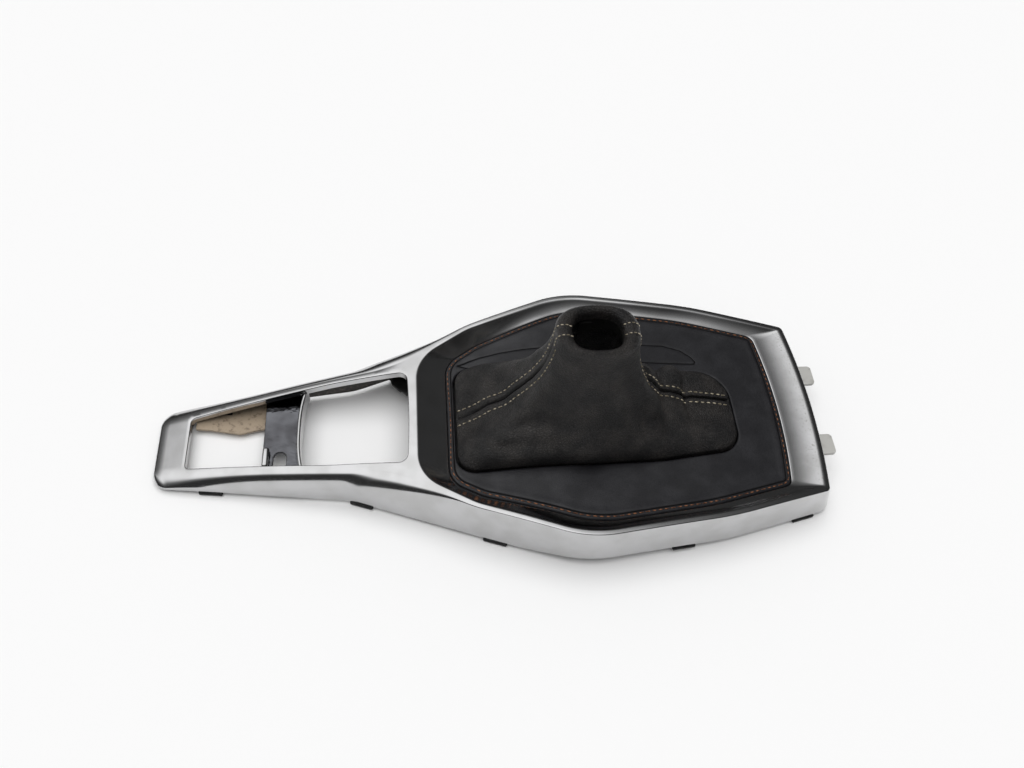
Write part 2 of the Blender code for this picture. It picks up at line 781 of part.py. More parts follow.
def add_clip(name, station, side, collection, mat):
    """Spring clip: a folded sheet that grips its tab from below."""
    outer = tab_depth() - CLEAR
    inner = tab_depth() + TAB_THICK + CLEAR
    far = inner + CLIP_SHEET
    low = -CLIP_REACH
    fold = 0.0012
    section = ((outer - CLIP_SHEET, -CLEAR), (outer - CLIP_SHEET, low + fold), (outer - CLIP_SHEET + fold, low),
               (far - fold, low), (far, low + fold), (far, CLIP_GRIP - 0.002),
               (far + CLIP_FLARE, CLIP_GRIP), (far + CLIP_FLARE - CLIP_SHEET, CLIP_GRIP + 0.0002),
               (inner, CLIP_GRIP - 0.0018), (inner, low + CLIP_SHEET + 0.0004),
               (inner - 0.0004, low + CLIP_SHEET), (outer + 0.0004, low + CLIP_SHEET),
               (outer, low + CLIP_SHEET + 0.0004), (outer, -CLEAR))
    bm = bmesh.new()
    side_prism(bm, station, side, CLIP_WIDTH, section)
    return new_object(name, bm, collection, mat)


def hole_half(corners, distance):
    """Half outline of the gaiter's hole on one side, made larger by a distance."""
    radii = [c[2] + distance for c in corners]
    moved = inset(HOLE_LEFT, corners, [-distance] * 6, radii)
    return half_path(moved[0][0], moved, DISH_SPANS, DISH_ARCS, 0.0)


def hole_loop(distance):
    """Loop round the gaiter's hole, matched to the loops round the panel."""
    near = hole_half(HOLE_NEAR_CORNERS, distance)
    return hole_half(HOLE_FAR_CORNERS, distance) + [(x, -y) for x, y in near[-2:0:-1]]


def panel_loop(distance):
    """Loop round the panel, inside the dish's lower edge by a distance."""
    return dish_loop(panel_corners(distance))


def panel_top(station):
    """Height of the leather's face at a station."""
    return dish_floor(station) + LEATHER_PROUD


def drop_ring(loop, drop):
    """Ring that follows the leather's face, lowered by a drop."""
    return [Vector((p.x, p.y, p.z - drop)) for p in lift(loop, panel_top)]


def mix_loops(a, b, share):
    """Loop between two matched loops."""
    return [(p[0] + (q[0] - p[0]) * share, p[1] + (q[1] - p[1]) * share) for p, q in zip(a, b)]


def leather_panel(collection, mat):
    """Leather cover of the panel, turned down at its outer edge and round the hole."""
    hole = hole_loop(LEATHER_ROUND)
    edge = panel_loop(PANEL_GAP + LEATHER_ROUND)
    rings = [drop_ring(hole_loop(0.0), LEATHER_TURN), drop_ring(hole_loop(0.0), LEATHER_ROUND),
             drop_ring(hole_loop(LEATHER_ROUND * 0.3), LEATHER_ROUND * 0.3), drop_ring(hole, 0.0)]
    rings += [drop_ring(mix_loops(hole, edge, share), 0.0) for share in (0.33, 0.67)]
    rings += [drop_ring(edge, 0.0), drop_ring(panel_loop(PANEL_GAP + LEATHER_ROUND * 0.3), LEATHER_ROUND * 0.3),
              drop_ring(panel_loop(PANEL_GAP), LEATHER_ROUND), drop_ring(panel_loop(PANEL_GAP), LEATHER_TURN)]
    return skin("panel_leather", rings, LEATHER, collection, mat)


def skin(name, rings, wall, collection, mat):
    """Sheet over rings whose wall grows inwards, away from the face that shows."""
    bm = bmesh.new()
    join_rings(bm, rings)
    bmesh.ops.recalc_face_normals(bm, faces=bm.faces)
    top = max(bm.faces, key=lambda f: f.normal.z * f.normal.z * f.calc_area())
    if top.normal.z < 0:
        bmesh.ops.reverse_faces(bm, faces=bm.faces)
    obj = new_object(name, bm, collection, mat)
    solidify(obj, wall, -1.0)
    shade(obj)
    return obj


def panel_screw_places():
    """Places of the carrier's screws in X and Y, with their share of the dish's width."""
    upper, lower = dish_corners()
    saddle = (upper[0][0] + lower[0][0]) / 2
    rear = lower[-1][0] + END_BULGE + REAR_SCREW_GAP
    side = panel_side(SIDE_SCREW_STATION) + SIDE_SCREW_GAP
    spots = ((saddle, SADDLE_SCREW_Y, 0.5), (SIDE_SCREW_STATION, side, SIDE_SCREW_GAP / DISH_WIDTH_MID),
             (rear, REAR_SCREW_Y, REAR_SCREW_GAP / DISH_WIDTH_END))
    return [(LEFT_X + station, y * sign, share) for station, y, share in spots for sign in (-1, 1)]


def panel_side(station):
    """Half width of the dish's lower edge at a station."""
    corners = dish_corners()[1]
    return path_side(half_path(corners[0][0], corners, DISH_SPANS, DISH_ARCS, 0.0), station)


def frame_screw_places():
    """Places of the screws that hold the gaiter's frame to the carrier, in X and Y."""
    places = []
    for station in FRAME_SCREW_STATIONS:
        for corners, sign in ((HOLE_NEAR_CORNERS, -1), (HOLE_FAR_CORNERS, 1)):
            reach = path_side(hole_half(corners, 0.0), station) + FRAME_WIDTH + EAR_RADIUS / 2
            places.append((LEFT_X + station, reach * sign))
    return places


def add_post(bm, x, y, radius, low, high, sides=SCREW_SIDES):
    """Add an upright closed cylinder to a bmesh."""
    made = bmesh.ops.create_cone(bm, cap_ends=True, segments=sides, radius1=radius, radius2=radius,
                                 depth=high - low)
    bmesh.ops.translate(bm, vec=(x, y, (low + high) / 2), verts=made["verts"])


def lip_top(x):
    """Height of the carrier's lip at a place."""
    return dish_floor(x - LEFT_X) - DISH_FLANGE - CLEAR


def screw(name, x, y, seat, length, collection, mat):
    """Pan-head screw that stands up through what it holds, with its head below the seat."""
    profile = ((SCREW_SHANK, length - 0.001), (SCREW_SHANK, 0.0), (SCREW_HEAD, -CLEAR),
               (SCREW_HEAD, -SCREW_HEAD_THICK * 0.6), (SCREW_HEAD * 0.7, -SCREW_HEAD_THICK))
    bm = bmesh.new()
    rings = []
    for radius, height in ((SCREW_SHANK * 0.6, length),) + profile:
        rings.append([Vector((x + radius * math.cos(2 * math.pi * k / SCREW_SIDES),
                              y + radius * math.sin(2 * math.pi * k / SCREW_SIDES), seat + height))
                      for k in range(SCREW_SIDES)])
    rows = join_rings(bm, rings)
    bm.faces.new(rows[0])
    bm.faces.new(rows[-1][::-1])
    bmesh.ops.recalc_face_normals(bm, faces=bm.faces)
    obj = new_object(name, bm, collection, mat)
    shade(obj)
    return obj


def solid_ring(name, rings, collection, mat):
    """Ring-shaped solid over rings that go round its section."""
    bm = bmesh.new()
    closed_tube(bm, rings)
    obj = new_object(name, bm, collection, mat)
    shade(obj)
    return obj


def carrier(collection, guides, mat):
    """Moulded carrier under the leather, with a rib down to the lip under the bezel's flange."""
    top = LEATHER + CLEAR
    plate = top + CARRIER_WALL
    lip = LEATHER_PROUD + DISH_FLANGE + CLEAR
    foot = lip + CARRIER_WALL
    hole = hole_loop(LEATHER + CLEAR)
    edge = panel_loop(PANEL_GAP + LEATHER + CLEAR)
    rib = panel_loop(PANEL_GAP + LEATHER + CLEAR + CARRIER_RIB)
    reach = panel_loop(-CARRIER_LIP)
    rings = [drop_ring(hole, top), drop_ring(mix_loops(hole, edge, 0.5), top), drop_ring(edge, top),
             drop_ring(edge, lip), drop_ring(reach, lip), drop_ring(reach, foot), drop_ring(rib, foot),
             drop_ring(rib, plate), drop_ring(mix_loops(hole, rib, 0.5), plate), drop_ring(hole, plate)]
    obj = solid_ring("panel_carrier", rings, collection, mat)
    posts = bmesh.new()
    bores = bmesh.new()
    for x, y, _ in panel_screw_places():
        height = lip_top(x)
        add_post(posts, x, y, EAR_RADIUS, height - EAR_THICK, height - 0.0001)
        add_post(bores, x, y, SCREW_SHANK + CLEAR, height - 0.010, height + 0.010)
    for x, y in frame_screw_places():
        under = panel_top(x - LEFT_X) - plate
        low = max(frame_top(x - BOSS_RADIUS), frame_top(x + BOSS_RADIUS)) + CLEAR
        add_post(posts, x, y, BOSS_RADIUS, low, under + 0.0008)
        add_post(bores, x, y, SCREW_SHANK + CLEAR, low - 0.005, low + FRAME_SCREW_LENGTH - FRAME_THICK)
    boolean(obj, new_object("carrier_posts", posts, guides), "UNION")
    boolean(obj, new_object("carrier_bores", bores, guides), "DIFFERENCE")
    return obj


def foot_drop():
    """Depth of the gaiter's foot below the leather's face."""
    return LEATHER_PROUD + DISH_FLANGE + CLEAR + CARRIER_WALL


def frame_top(x):
    """Height of the upper face of the gaiter's frame."""
    return panel_top(x - LEFT_X) - foot_drop() - CLEAR


def gaiter_frame(collection, guides, mat):
    """Ring inside the gaiter's foot, with a flange and ears screwed to the carrier."""
    outer = -(GAITER_INSET + GAITER_SKIN + CLEAR)
    inner = outer - FRAME_WALL
    flange = foot_drop() + CLEAR
    low = flange + FRAME_THICK
    section = ((outer, FRAME_TOP_DROP), (outer, flange), (FRAME_WIDTH, flange), (FRAME_WIDTH, low),
               (inner, low), (inner, FRAME_TOP_DROP))
    rings = [drop_ring(hole_loop(distance), drop) for distance, drop in section]
    obj = solid_ring("gaiter_frame", rings, collection, mat)
    posts = bmesh.new()
    bores = bmesh.new()
    for x, y in frame_screw_places():
        height = frame_top(x)
        add_post(posts, x, y, EAR_RADIUS, height - FRAME_THICK, height - 0.0001)
        add_post(bores, x, y, SCREW_SHANK + CLEAR, height - 0.008, height + 0.004)
    boolean(obj, new_object("frame_ears", posts, guides), "UNION")
    boolean(obj, new_object("frame_bores", bores, guides), "DIFFERENCE")
    return obj


def oval(half_length, half_width, angle, power=2.6):
    """Point of a rounded oval at an angle."""
    c = math.cos(angle)
    s = math.sin(angle)
    return (math.copysign(abs(c) ** (2 / power), c) * half_length,
            math.copysign(abs(s) ** (2 / power), s) * half_width)


def gaiter_angles(loop):
    """Angle round the collar of each point of a loop."""
    return [math.atan2(y, x - COLLAR_STATION) for x, y in loop]


def collar_ring(loop, half_length, half_width, height):
    """Oval ring at the collar, matched point by point to a loop."""
    ring = []
    for angle in gaiter_angles(loop):
        x, y = oval(half_length, half_width, angle)
        ring.append(Vector((LEFT_X + COLLAR_STATION + x, y, height)))
    return ring


def gaiter_rings():
    """Rings of the gaiter from its clamped edge up to the turned-in top."""
    base = hole_loop(-GAITER_INSET)
    rings = [drop_ring(base, foot_drop()), drop_ring(base, LEATHER_ROUND), drop_ring(base, -0.0010)]
    top = collar_ring(base, COLLAR_HALF_LENGTH, COLLAR_HALF_WIDTH, COLLAR_TOP - GAITER_ROLL)
    low = drop_ring(base, -0.0010)
    for step in range(1, GAITER_STEPS):
        share = step / GAITER_STEPS
        rings.append([gaiter_point(a, b, share) for a, b in zip(low, top)])
    rings.append(top)
    for angle in (45, 90, 135):
        part = math.radians(angle)
        rise = GAITER_ROLL * math.sin(part)
        inwards = (1 - math.cos(part)) / 2
        length = COLLAR_HALF_LENGTH + (COLLAR_OPENING_LENGTH - COLLAR_HALF_LENGTH) * inwards
        width = COLLAR_HALF_WIDTH + (COLLAR_OPENING_WIDTH - COLLAR_HALF_WIDTH) * inwards
        rings.append(collar_ring(base, length, width, COLLAR_TOP - GAITER_ROLL + rise))
    rings.append(collar_ring(base, COLLAR_OPENING_LENGTH, COLLAR_OPENING_WIDTH, COLLAR_TOP - GAITER_ROLL))
    rings.append(collar_ring(base, COLLAR_OPENING_LENGTH, COLLAR_OPENING_WIDTH, COLLAR_TOP - GAITER_TURN))
    return rings


def gaiter_point(low, high, share):
    """Point of the gaiter's side between the panel and the collar.

    The leather leans in slowly over the neck's side, hangs in a full belly towards the
    long sides and makes a low shelf under an upright wall towards the wide end.
    """
    centre = Vector((LEFT_X + COLLAR_STATION, 0.0))
    out = Vector((low.x, low.y)) - centre
    angle = math.atan2(out.y, out.x)
    forward = max(math.cos(angle), 0.0) ** 1.5
    back = max(-math.cos(angle), 0.0) ** 1.5
    sides = 1.0 - forward - back
    start_out = SHELF_REACH * forward + SLOPE_REACH * back + BELLY_REACH * sides
    start_up = SHELF_RISE * forward + SLOPE_RISE * back + BELLY_RISE * sides
    end_down = SHELF_FALL * forward + SLOPE_FALL * back + BELLY_FALL * sides
    flat = Vector((high.x - low.x, high.y - low.y))
    rise = high.z - low.z
    p0 = Vector((0.0, 0.0))
    p1 = Vector((start_out, start_up))
    p2 = Vector((1.0 + end_lean(forward, back), 1.0 - end_down))
    p3 = Vector((1.0, 1.0))
    u = 1 - share
    mix = p0 * u ** 3 + p1 * 3 * u * u * share + p2 * 3 * u * share * share + p3 * share ** 3
    return Vector((low.x + flat.x * mix.x, low.y + flat.y * mix.x, low.z + rise * mix.y))


def end_lean(forward, back):
    """How far the side leans out just under the collar, as a share of its whole reach."""
    return -0.10 * forward - 0.02 * back - 0.12 * (1 - forward - back)


def gaiter(collection, mat):
    """Leather gaiter, open at its foot and at its top."""
    return skin_up("gaiter", gaiter_rings(), GAITER_SKIN, collection, mat)


def skin_up(name, rings, wall, collection, mat):
    """Sheet over rings round an upright axis, whose wall grows inwards."""
    bm = bmesh.new()
    join_rings(bm, rings)
    bmesh.ops.recalc_face_normals(bm, faces=bm.faces)
    tall = max((f for f in bm.faces if abs(f.normal.z) < 0.5), key=lambda f: f.calc_center_median().y)
    if tall.normal.y < 0:
        bmesh.ops.reverse_faces(bm, faces=bm.faces)
    obj = new_object(name, bm, collection, mat)
    solidify(obj, wall, -1.0)
    shade(obj, 60)
    return obj


def collar(collection, guides, mat):
    """Moulded ring in the gaiter's top that the lever's knob clips into."""
    loop = hole_loop(-GAITER_INSET)
    outer = GAITER_SKIN + CLEAR
    top = COLLAR_TOP - GAITER_SKIN - CLEAR - 0.0012
    low = COLLAR_TOP - COLLAR_DEPTH
    half_length = COLLAR_HALF_LENGTH - outer
    half_width = COLLAR_HALF_WIDTH - outer
    hole_length = COLLAR_OPENING_LENGTH + outer
    hole_width = COLLAR_OPENING_WIDTH + outer
    rings = [collar_ring(loop, hole_length, hole_width, low), collar_ring(loop, hole_length, hole_width, top - 0.002),
             collar_ring(loop, hole_length + 0.0012, hole_width + 0.0005, top),
             collar_ring(loop, half_length - 0.0022, half_width - 0.0009, top),
             collar_ring(loop, half_length - 0.0004, half_width - 0.0004, COLLAR_TOP - GAITER_ROLL),
             collar_ring(loop, half_length - 0.0004, half_width - 0.0004, low)]
    bm = bmesh.new()
    closed_tube(bm, rings)
    obj = new_object("gaiter_collar", bm, collection, mat)
    key_x = LEFT_X + COLLAR_STATION - 0.0052
    key = box("collar_key", (key_x - COLLAR_KEY_WIDTH / 2, hole_width - 0.0026, low),
              (key_x + COLLAR_KEY_WIDTH / 2, hole_width + 0.0008, low + COLLAR_KEY_HEIGHT), guides)
    boolean(obj, key, "UNION")
    shade(obj)
    return obj


def main():
    """Build the part."""
    for obj in list(bpy.data.objects):
        bpy.data.objects.remove(obj)
    part = bpy.data.collections.new("gear_shift_surround")
    guides = bpy.data.collections.new("guides")
    bpy.context.scene.collection.children.link(part)
    bpy.context.scene.collection.children.link(guides)
    chrome = material("satin_chrome", (0.62, 0.62, 0.63), 0.18, 1.0)
    moulding = material("black_moulding", (0.02, 0.02, 0.02), 0.55)
    panel_hide = material("panel_leather", (0.035, 0.035, 0.040), 0.5)
    gaiter_hide = material("gaiter_leather", (0.025, 0.023, 0.022), 0.6)
    spring = material("black_spring_steel", (0.02, 0.02, 0.02), 0.4, 0.5)
    zinc = material("zinc_plate", (0.45, 0.45, 0.42), 0.35, 1.0)
    bezel = bezel_sheet(part, chrome)
    add_bridge(bezel, guides)
    add_ledge(bezel, "ledge", LEDGE_EDGE, FAR_CLIP_STATIONS[:1], LEDGE_HEIGHT, LEDGE_THICK, guides)
    add_ledge(bezel, "gusset", GUSSET_EDGE, (), GUSSET_HEIGHT, GUSSET_THICK, guides)
    add_tongues(bezel, guides)
    add_posts(bezel, guides)
    shade(bezel)
    leather_panel(part, panel_hide)
    carrier(part, guides, moulding)
    gaiter(part, gaiter_hide)
    collar(part, guides, moulding)
    gaiter_frame(part, guides, moulding)
    for name, stations, side in (("near", NEAR_CLIP_STATIONS, -1), ("far", FAR_CLIP_STATIONS, 1)):
        for index, station in enumerate(stations, 1):
            add_clip(f"{name}_clip_{index}", station, side, part, spring)
    for index, (x, y, _) in enumerate(panel_screw_places(), 1):
        screw(f"panel_screw_{index}", x, y, lip_top(x) - EAR_THICK - CLEAR, SCREW_LENGTH, part, zinc)
    for index, (x, y) in enumerate(frame_screw_places(), 1):
        screw(f"frame_screw_{index}", x, y, frame_top(x) - FRAME_THICK - CLEAR, FRAME_SCREW_LENGTH, part,
              zinc)


main()
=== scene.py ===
"""Looks of a gear shift surround: satin chrome bezel, stitched leather panel and leather gaiter.

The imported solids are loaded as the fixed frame. The bezel, the leather panel, the gaiter and the
spring clips are rebuilt as fine surfaces over the same outlines, and every other piece keeps its
solid and gets its finish. Lengths are metres. A station is a distance along the bezel from the neck's end.
"""
import logging
import math
from dataclasses import dataclass
from enum import Enum

import bmesh
import bpy
import numpy as np
from mathutils import Matrix, Vector, noise
from mathutils.geometry import delaunay_2d_cdt


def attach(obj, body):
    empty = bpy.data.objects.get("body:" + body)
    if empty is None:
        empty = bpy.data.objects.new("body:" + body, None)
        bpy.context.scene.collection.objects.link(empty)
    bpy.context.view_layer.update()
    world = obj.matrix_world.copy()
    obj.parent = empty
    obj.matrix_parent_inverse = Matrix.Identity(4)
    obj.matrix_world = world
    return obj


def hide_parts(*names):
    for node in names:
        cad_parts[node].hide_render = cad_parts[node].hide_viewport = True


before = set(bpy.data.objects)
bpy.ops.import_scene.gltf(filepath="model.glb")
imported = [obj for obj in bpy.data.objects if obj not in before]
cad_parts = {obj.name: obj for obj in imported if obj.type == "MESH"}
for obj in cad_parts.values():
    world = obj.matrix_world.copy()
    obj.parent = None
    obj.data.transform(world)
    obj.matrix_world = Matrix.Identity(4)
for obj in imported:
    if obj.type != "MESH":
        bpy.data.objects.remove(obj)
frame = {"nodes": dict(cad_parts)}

LOG = logging.getLogger("gear_shift_surround")
MM = 0.001
BODY = "root"
LEFT_X = -0.23645

Corner = tuple[float, float, float]
Rows = list[np.ndarray]


class Finish(Enum):
    """Finishes of the surround, by the name of their material."""

    CHROME = "satin_chrome_plate"
    PANEL_HIDE = "nappa_panel_leather"
    GAITER_HIDE = "soft_gaiter_leather"
    PANEL_THREAD = "panel_thread"
    GAITER_THREAD = "gaiter_thread"
    MOULDING = "moulded_black_abs"
    SPRING = "black_phosphated_spring_steel"
    ZINC = "zinc_plated_screw"
    PAPER = "studio_paper"
    GLOSS = "smoked_chrome_web"
    RAW = "unplated_abs_web"
    BACK = "dull_plated_back"
    TONGUE = "frosted_plated_tongue"


# Helpers for shapes


def ease(value: np.ndarray | float) -> np.ndarray:
    """Smooth step from 0 to 1 as value goes from 0 to 1.

    Args:
        value: Position between the two ends, of any size.

    Returns:
        The eased share, held between 0 and 1.
    """
    share = np.clip(value, 0.0, 1.0)
    return share * share * (3 - 2 * share)


def bump_at(value: np.ndarray, centre: float, width: float) -> np.ndarray:
    """Round bump of height 1 at a centre, which dies away over a width.

    Args:
        value: Positions along one axis.
        centre: Where the bump peaks.
        width: Distance over which it falls to about a third.

    Returns:
        Height of the bump at each position.
    """
    return np.exp(-((value - centre) / width) ** 2)


def place(loop: np.ndarray, height: np.ndarray) -> np.ndarray:
    """Ring of points in the row frame.

    Args:
        loop: Stations and half widths, one row a point.
        height: Height of each point.

    Returns:
        Points in X, Y and Z.
    """
    return np.column_stack((loop[:, 0] + LEFT_X, loop[:, 1], height))


def bend(start: np.ndarray, corner: np.ndarray, end: np.ndarray, steps: int) -> Rows:
    """Rows of a fillet that leaves start, turns at corner and arrives at end.

    Args:
        start: Ring at which the fillet begins.
        corner: Ring of sharp corners that the fillet rounds.
        end: Ring at which the fillet ends.
        steps: Rows to make after start.

    Returns:
        The rows after start, up to end.
    """
    rows = []
    for step in range(1, steps + 1):
        t = step / steps
        rows.append(start * (1 - t) ** 2 + corner * 2 * t * (1 - t) + end * t * t)
    return rows


def blend_rows(start: np.ndarray, end: np.ndarray, steps: int) -> Rows:
    """Rows between two rings, without the first.

    Args:
        start: First ring.
        end: Last ring.
        steps: Rows to make.

    Returns:
        The rows after start, up to end.
    """
    return [start + (end - start) * step / steps for step in range(1, steps + 1)]


def mix(start: np.ndarray, end: np.ndarray, share: float) -> np.ndarray:
    """Ring at a share of the way between two rings."""
    return start + (end - start) * share


def skin(bm: bmesh.types.BMesh, rows: Rows, closed: bool = False) -> list[list[bmesh.types.BMVert]]:
    """Skin neighbouring closed rings of equal count with quads.

    Args:
        bm: Mesh that gets the faces.
        rows: Rings of points.
        closed: Whether the last ring joins the first.

    Returns:
        The vertices, ring by ring.
    """
    verts = [[bm.verts.new(point) for point in row] for row in rows]
    pairs = list(zip(verts, verts[1:]))
    if closed:
        pairs.append((verts[-1], verts[0]))
    for low, high in pairs:
        count = len(low)
        for i in range(count):
            j = (i + 1) % count
            bm.faces.new((low[i], low[j], high[j], high[i]))
    return verts


def inside(points: np.ndarray, ring: np.ndarray) -> np.ndarray:
    """Which points lie within a ring.

    Args:
        points: Points in X and Y.
        ring: Corners of a closed ring.

    Returns:
        True for each point inside.
    """
    found = np.zeros(len(points), bool)
    for a, b in zip(ring, np.roll(ring, -1, 0)):
        crosses = (a[1] > points[:, 1]) != (b[1] > points[:, 1])
        if crosses.any():
            where = a[0] + (points[:, 1] - a[1]) * (b[0] - a[0]) / (b[1] - a[1] + 1e-15)
            found ^= crosses & (points[:, 0] < where)
    return found


def distance_to(points: np.ndarray, ring: np.ndarray) -> np.ndarray:
    """Distance from each point to a closed ring.

    Args:
        points: Points in X and Y.
        ring: Corners of a closed ring.

    Returns:
        Distance to the nearest side.
    """
    best = np.full(len(points), 1.0)
    for a, b in zip(ring, np.roll(ring, -1, 0)):
        along = b - a
        length = max(float(along @ along), 1e-15)
        t = np.clip(((points - a) @ along) / length, 0, 1)
        gap = points - (a + t[:, None] * along)
        best = np.minimum(best, np.hypot(gap[:, 0], gap[:, 1]))
    return best


def make_object(name: str, bm: bmesh.types.BMesh, finish: Finish | None = None) -> bpy.types.Object:
    """Turn a bmesh into an object at the origin.

    Args:
        name: Name of the object.
        bm: Mesh, which is freed.
        finish: Finish of the object's only slot.

    Returns:
        The object, linked to the scene.
    """
    mesh = bpy.data.meshes.new(name)
    bm.to_mesh(mesh)
    bm.free()
    obj = bpy.data.objects.new(name, mesh)
    bpy.context.scene.collection.objects.link(obj)
    if finish:
        mesh.materials.append(bpy.data.materials[finish.value])
    return obj


def apply_modifiers(obj: bpy.types.Object) -> None:
    """Replace an object's mesh by its evaluated one and drop the modifiers."""
    graph = bpy.context.evaluated_depsgraph_get()
    mesh = bpy.data.meshes.new_from_object(obj.evaluated_get(graph))
    obj.modifiers.clear()
    obj.data = mesh


def smooth(obj: bpy.types.Object, degrees: float = 35.0) -> None:
    """Shade an object smooth and keep the edges that are sharper than an angle."""
    obj.data.shade_smooth()
    obj.data.set_sharp_from_angle(angle=math.radians(degrees))


def write_attribute(obj: bpy.types.Object, name: str, values: np.ndarray) -> None:
    """Store one number a vertex on an object's mesh."""
    attribute = obj.data.attributes.new(name, "FLOAT", "POINT")
    attribute.data.foreach_set("value", values.astype(np.float32))


def read_points(obj: bpy.types.Object) -> np.ndarray:
    """Places of an object's vertices, one row a vertex."""
    flat = np.zeros(len(obj.data.vertices) * 3)
    obj.data.vertices.foreach_get("co", flat)
    return flat.reshape(-1, 3)


# Outlines


@dataclass(frozen=True)
class Outline:
    """Half of an outline: straights between corners, each corner an arc.

    The half runs from (left, 0) over the corners back to Y = 0, and its last side may bow out.
    """

    left: float
    corners: tuple[Corner, ...]
    spans: tuple[int, ...]
    arcs: tuple[int, ...]
    bulge: float = 0.0

    def inset(self, distances: float | tuple[float, ...],
              radii: tuple[float, ...] | None = None) -> "Outline":
        """Outline moved inwards.

        Args:
            distances: Distance for every side, or one for each.
            radii: New corner radii. Without them each radius follows the distance.

        Returns:
            The new outline.
        """
        count = len(self.corners) + 1
        if isinstance(distances, float):
            distances = (distances,) * count
        if radii is None:
            radii = tuple(max(c[2] - distances[0], 0.4 * MM) for c in self.corners)
        nodes = [Vector((self.left, 0.0))] + [Vector(c[:2]) for c in self.corners]
        nodes.append(Vector((self.corners[-1][0], 0.0)))
        sides = []
        for a, b, distance in zip(nodes, nodes[1:], distances):
            along = (b - a).normalized()
            shift = Vector((along.y, -along.x)) * distance
            sides.append((a + shift, along))
        corners = []
        for (a, r), (b, s), radius in zip(sides, sides[1:], radii):
            gap = b - a
            share = (gap.x * s.y - gap.y * s.x) / (r.x * s.y - r.y * s.x)
            point = a + r * share
            corners.append((point.x, point.y, radius))
        return Outline(corners[0][0], tuple(corners), self.spans, self.arcs, self.bulge)

    def half(self, fineness: int) -> np.ndarray:
        """Points of the half outline.

        Args:
            fineness: How many times finer than the solid's outline it is cut.

        Returns:
            Stations and half widths, one row a point.
        """
        nodes = [Vector((self.left, 0.0))] + [Vector(c[:2]) for c in self.corners]
        nodes.append(Vector((self.corners[-1][0], 0.0)))
        path = [nodes[0].copy()]

        def extend(end: Vector, count: int) -> None:
            """Add a straight to the path in equal steps."""
            start = path[-1].copy()
            for step in range(1, count + 1):
                path.append(start.lerp(end, step / count))

        for index, (corner, steps) in enumerate(zip(self.corners, self.arcs)):
            here = nodes[index + 1]
            back = (nodes[index] - here).normalized()
            ahead = (nodes[index + 2] - here).normalized()
            turn = math.pi - back.angle(ahead)
            reach = corner[2] * math.tan(turn / 2)
            centre = here + (back + ahead).normalized() * (corner[2] / math.cos(turn / 2))
            start = here + back * reach
            end = here + ahead * reach
            extend(start, self.spans[index] * fineness)
            first = start - centre
            last = end - centre
            angle = math.atan2(first.x * last.y - first.y * last.x, first.dot(last))
            for step in range(1, steps * fineness + 1):
                part = angle * step / (steps * fineness)
                turned = Vector((first.x * math.cos(part) - first.y * math.sin(part),
                                 first.x * math.sin(part) + first.y * math.cos(part)))
                path.append(centre + turned)
        extend(nodes[-1], self.spans[-1] * fineness)
        points = np.array([tuple(p) for p in path])
        top = self.corners[-1][1]
        tail = (self.spans[-1] + self.arcs[-1]) * fineness
        points[-tail:, 0] += self.bulge * (1 - (points[-tail:, 1] / top) ** 2)
        return points

    def loop(self, fineness: int) -> np.ndarray:
        """Closed loop of the outline and its mirror image."""
        half = self.half(fineness)
        mirrored = half[-2:0:-1] * (1, -1)
        return np.vstack((half, mirrored))


def side_at(path: np.ndarray, station: float) -> float:
    """Half width of a half outline's long side at a station.

    Args:
        path: Points of a half outline.
        station: Station to look at.

    Returns:
        Half width there.
    """
    rising = path[: int(np.argmax(path[:, 0])) + 1]
    return float(np.interp(station, rising[:, 0], rising[:, 1]))


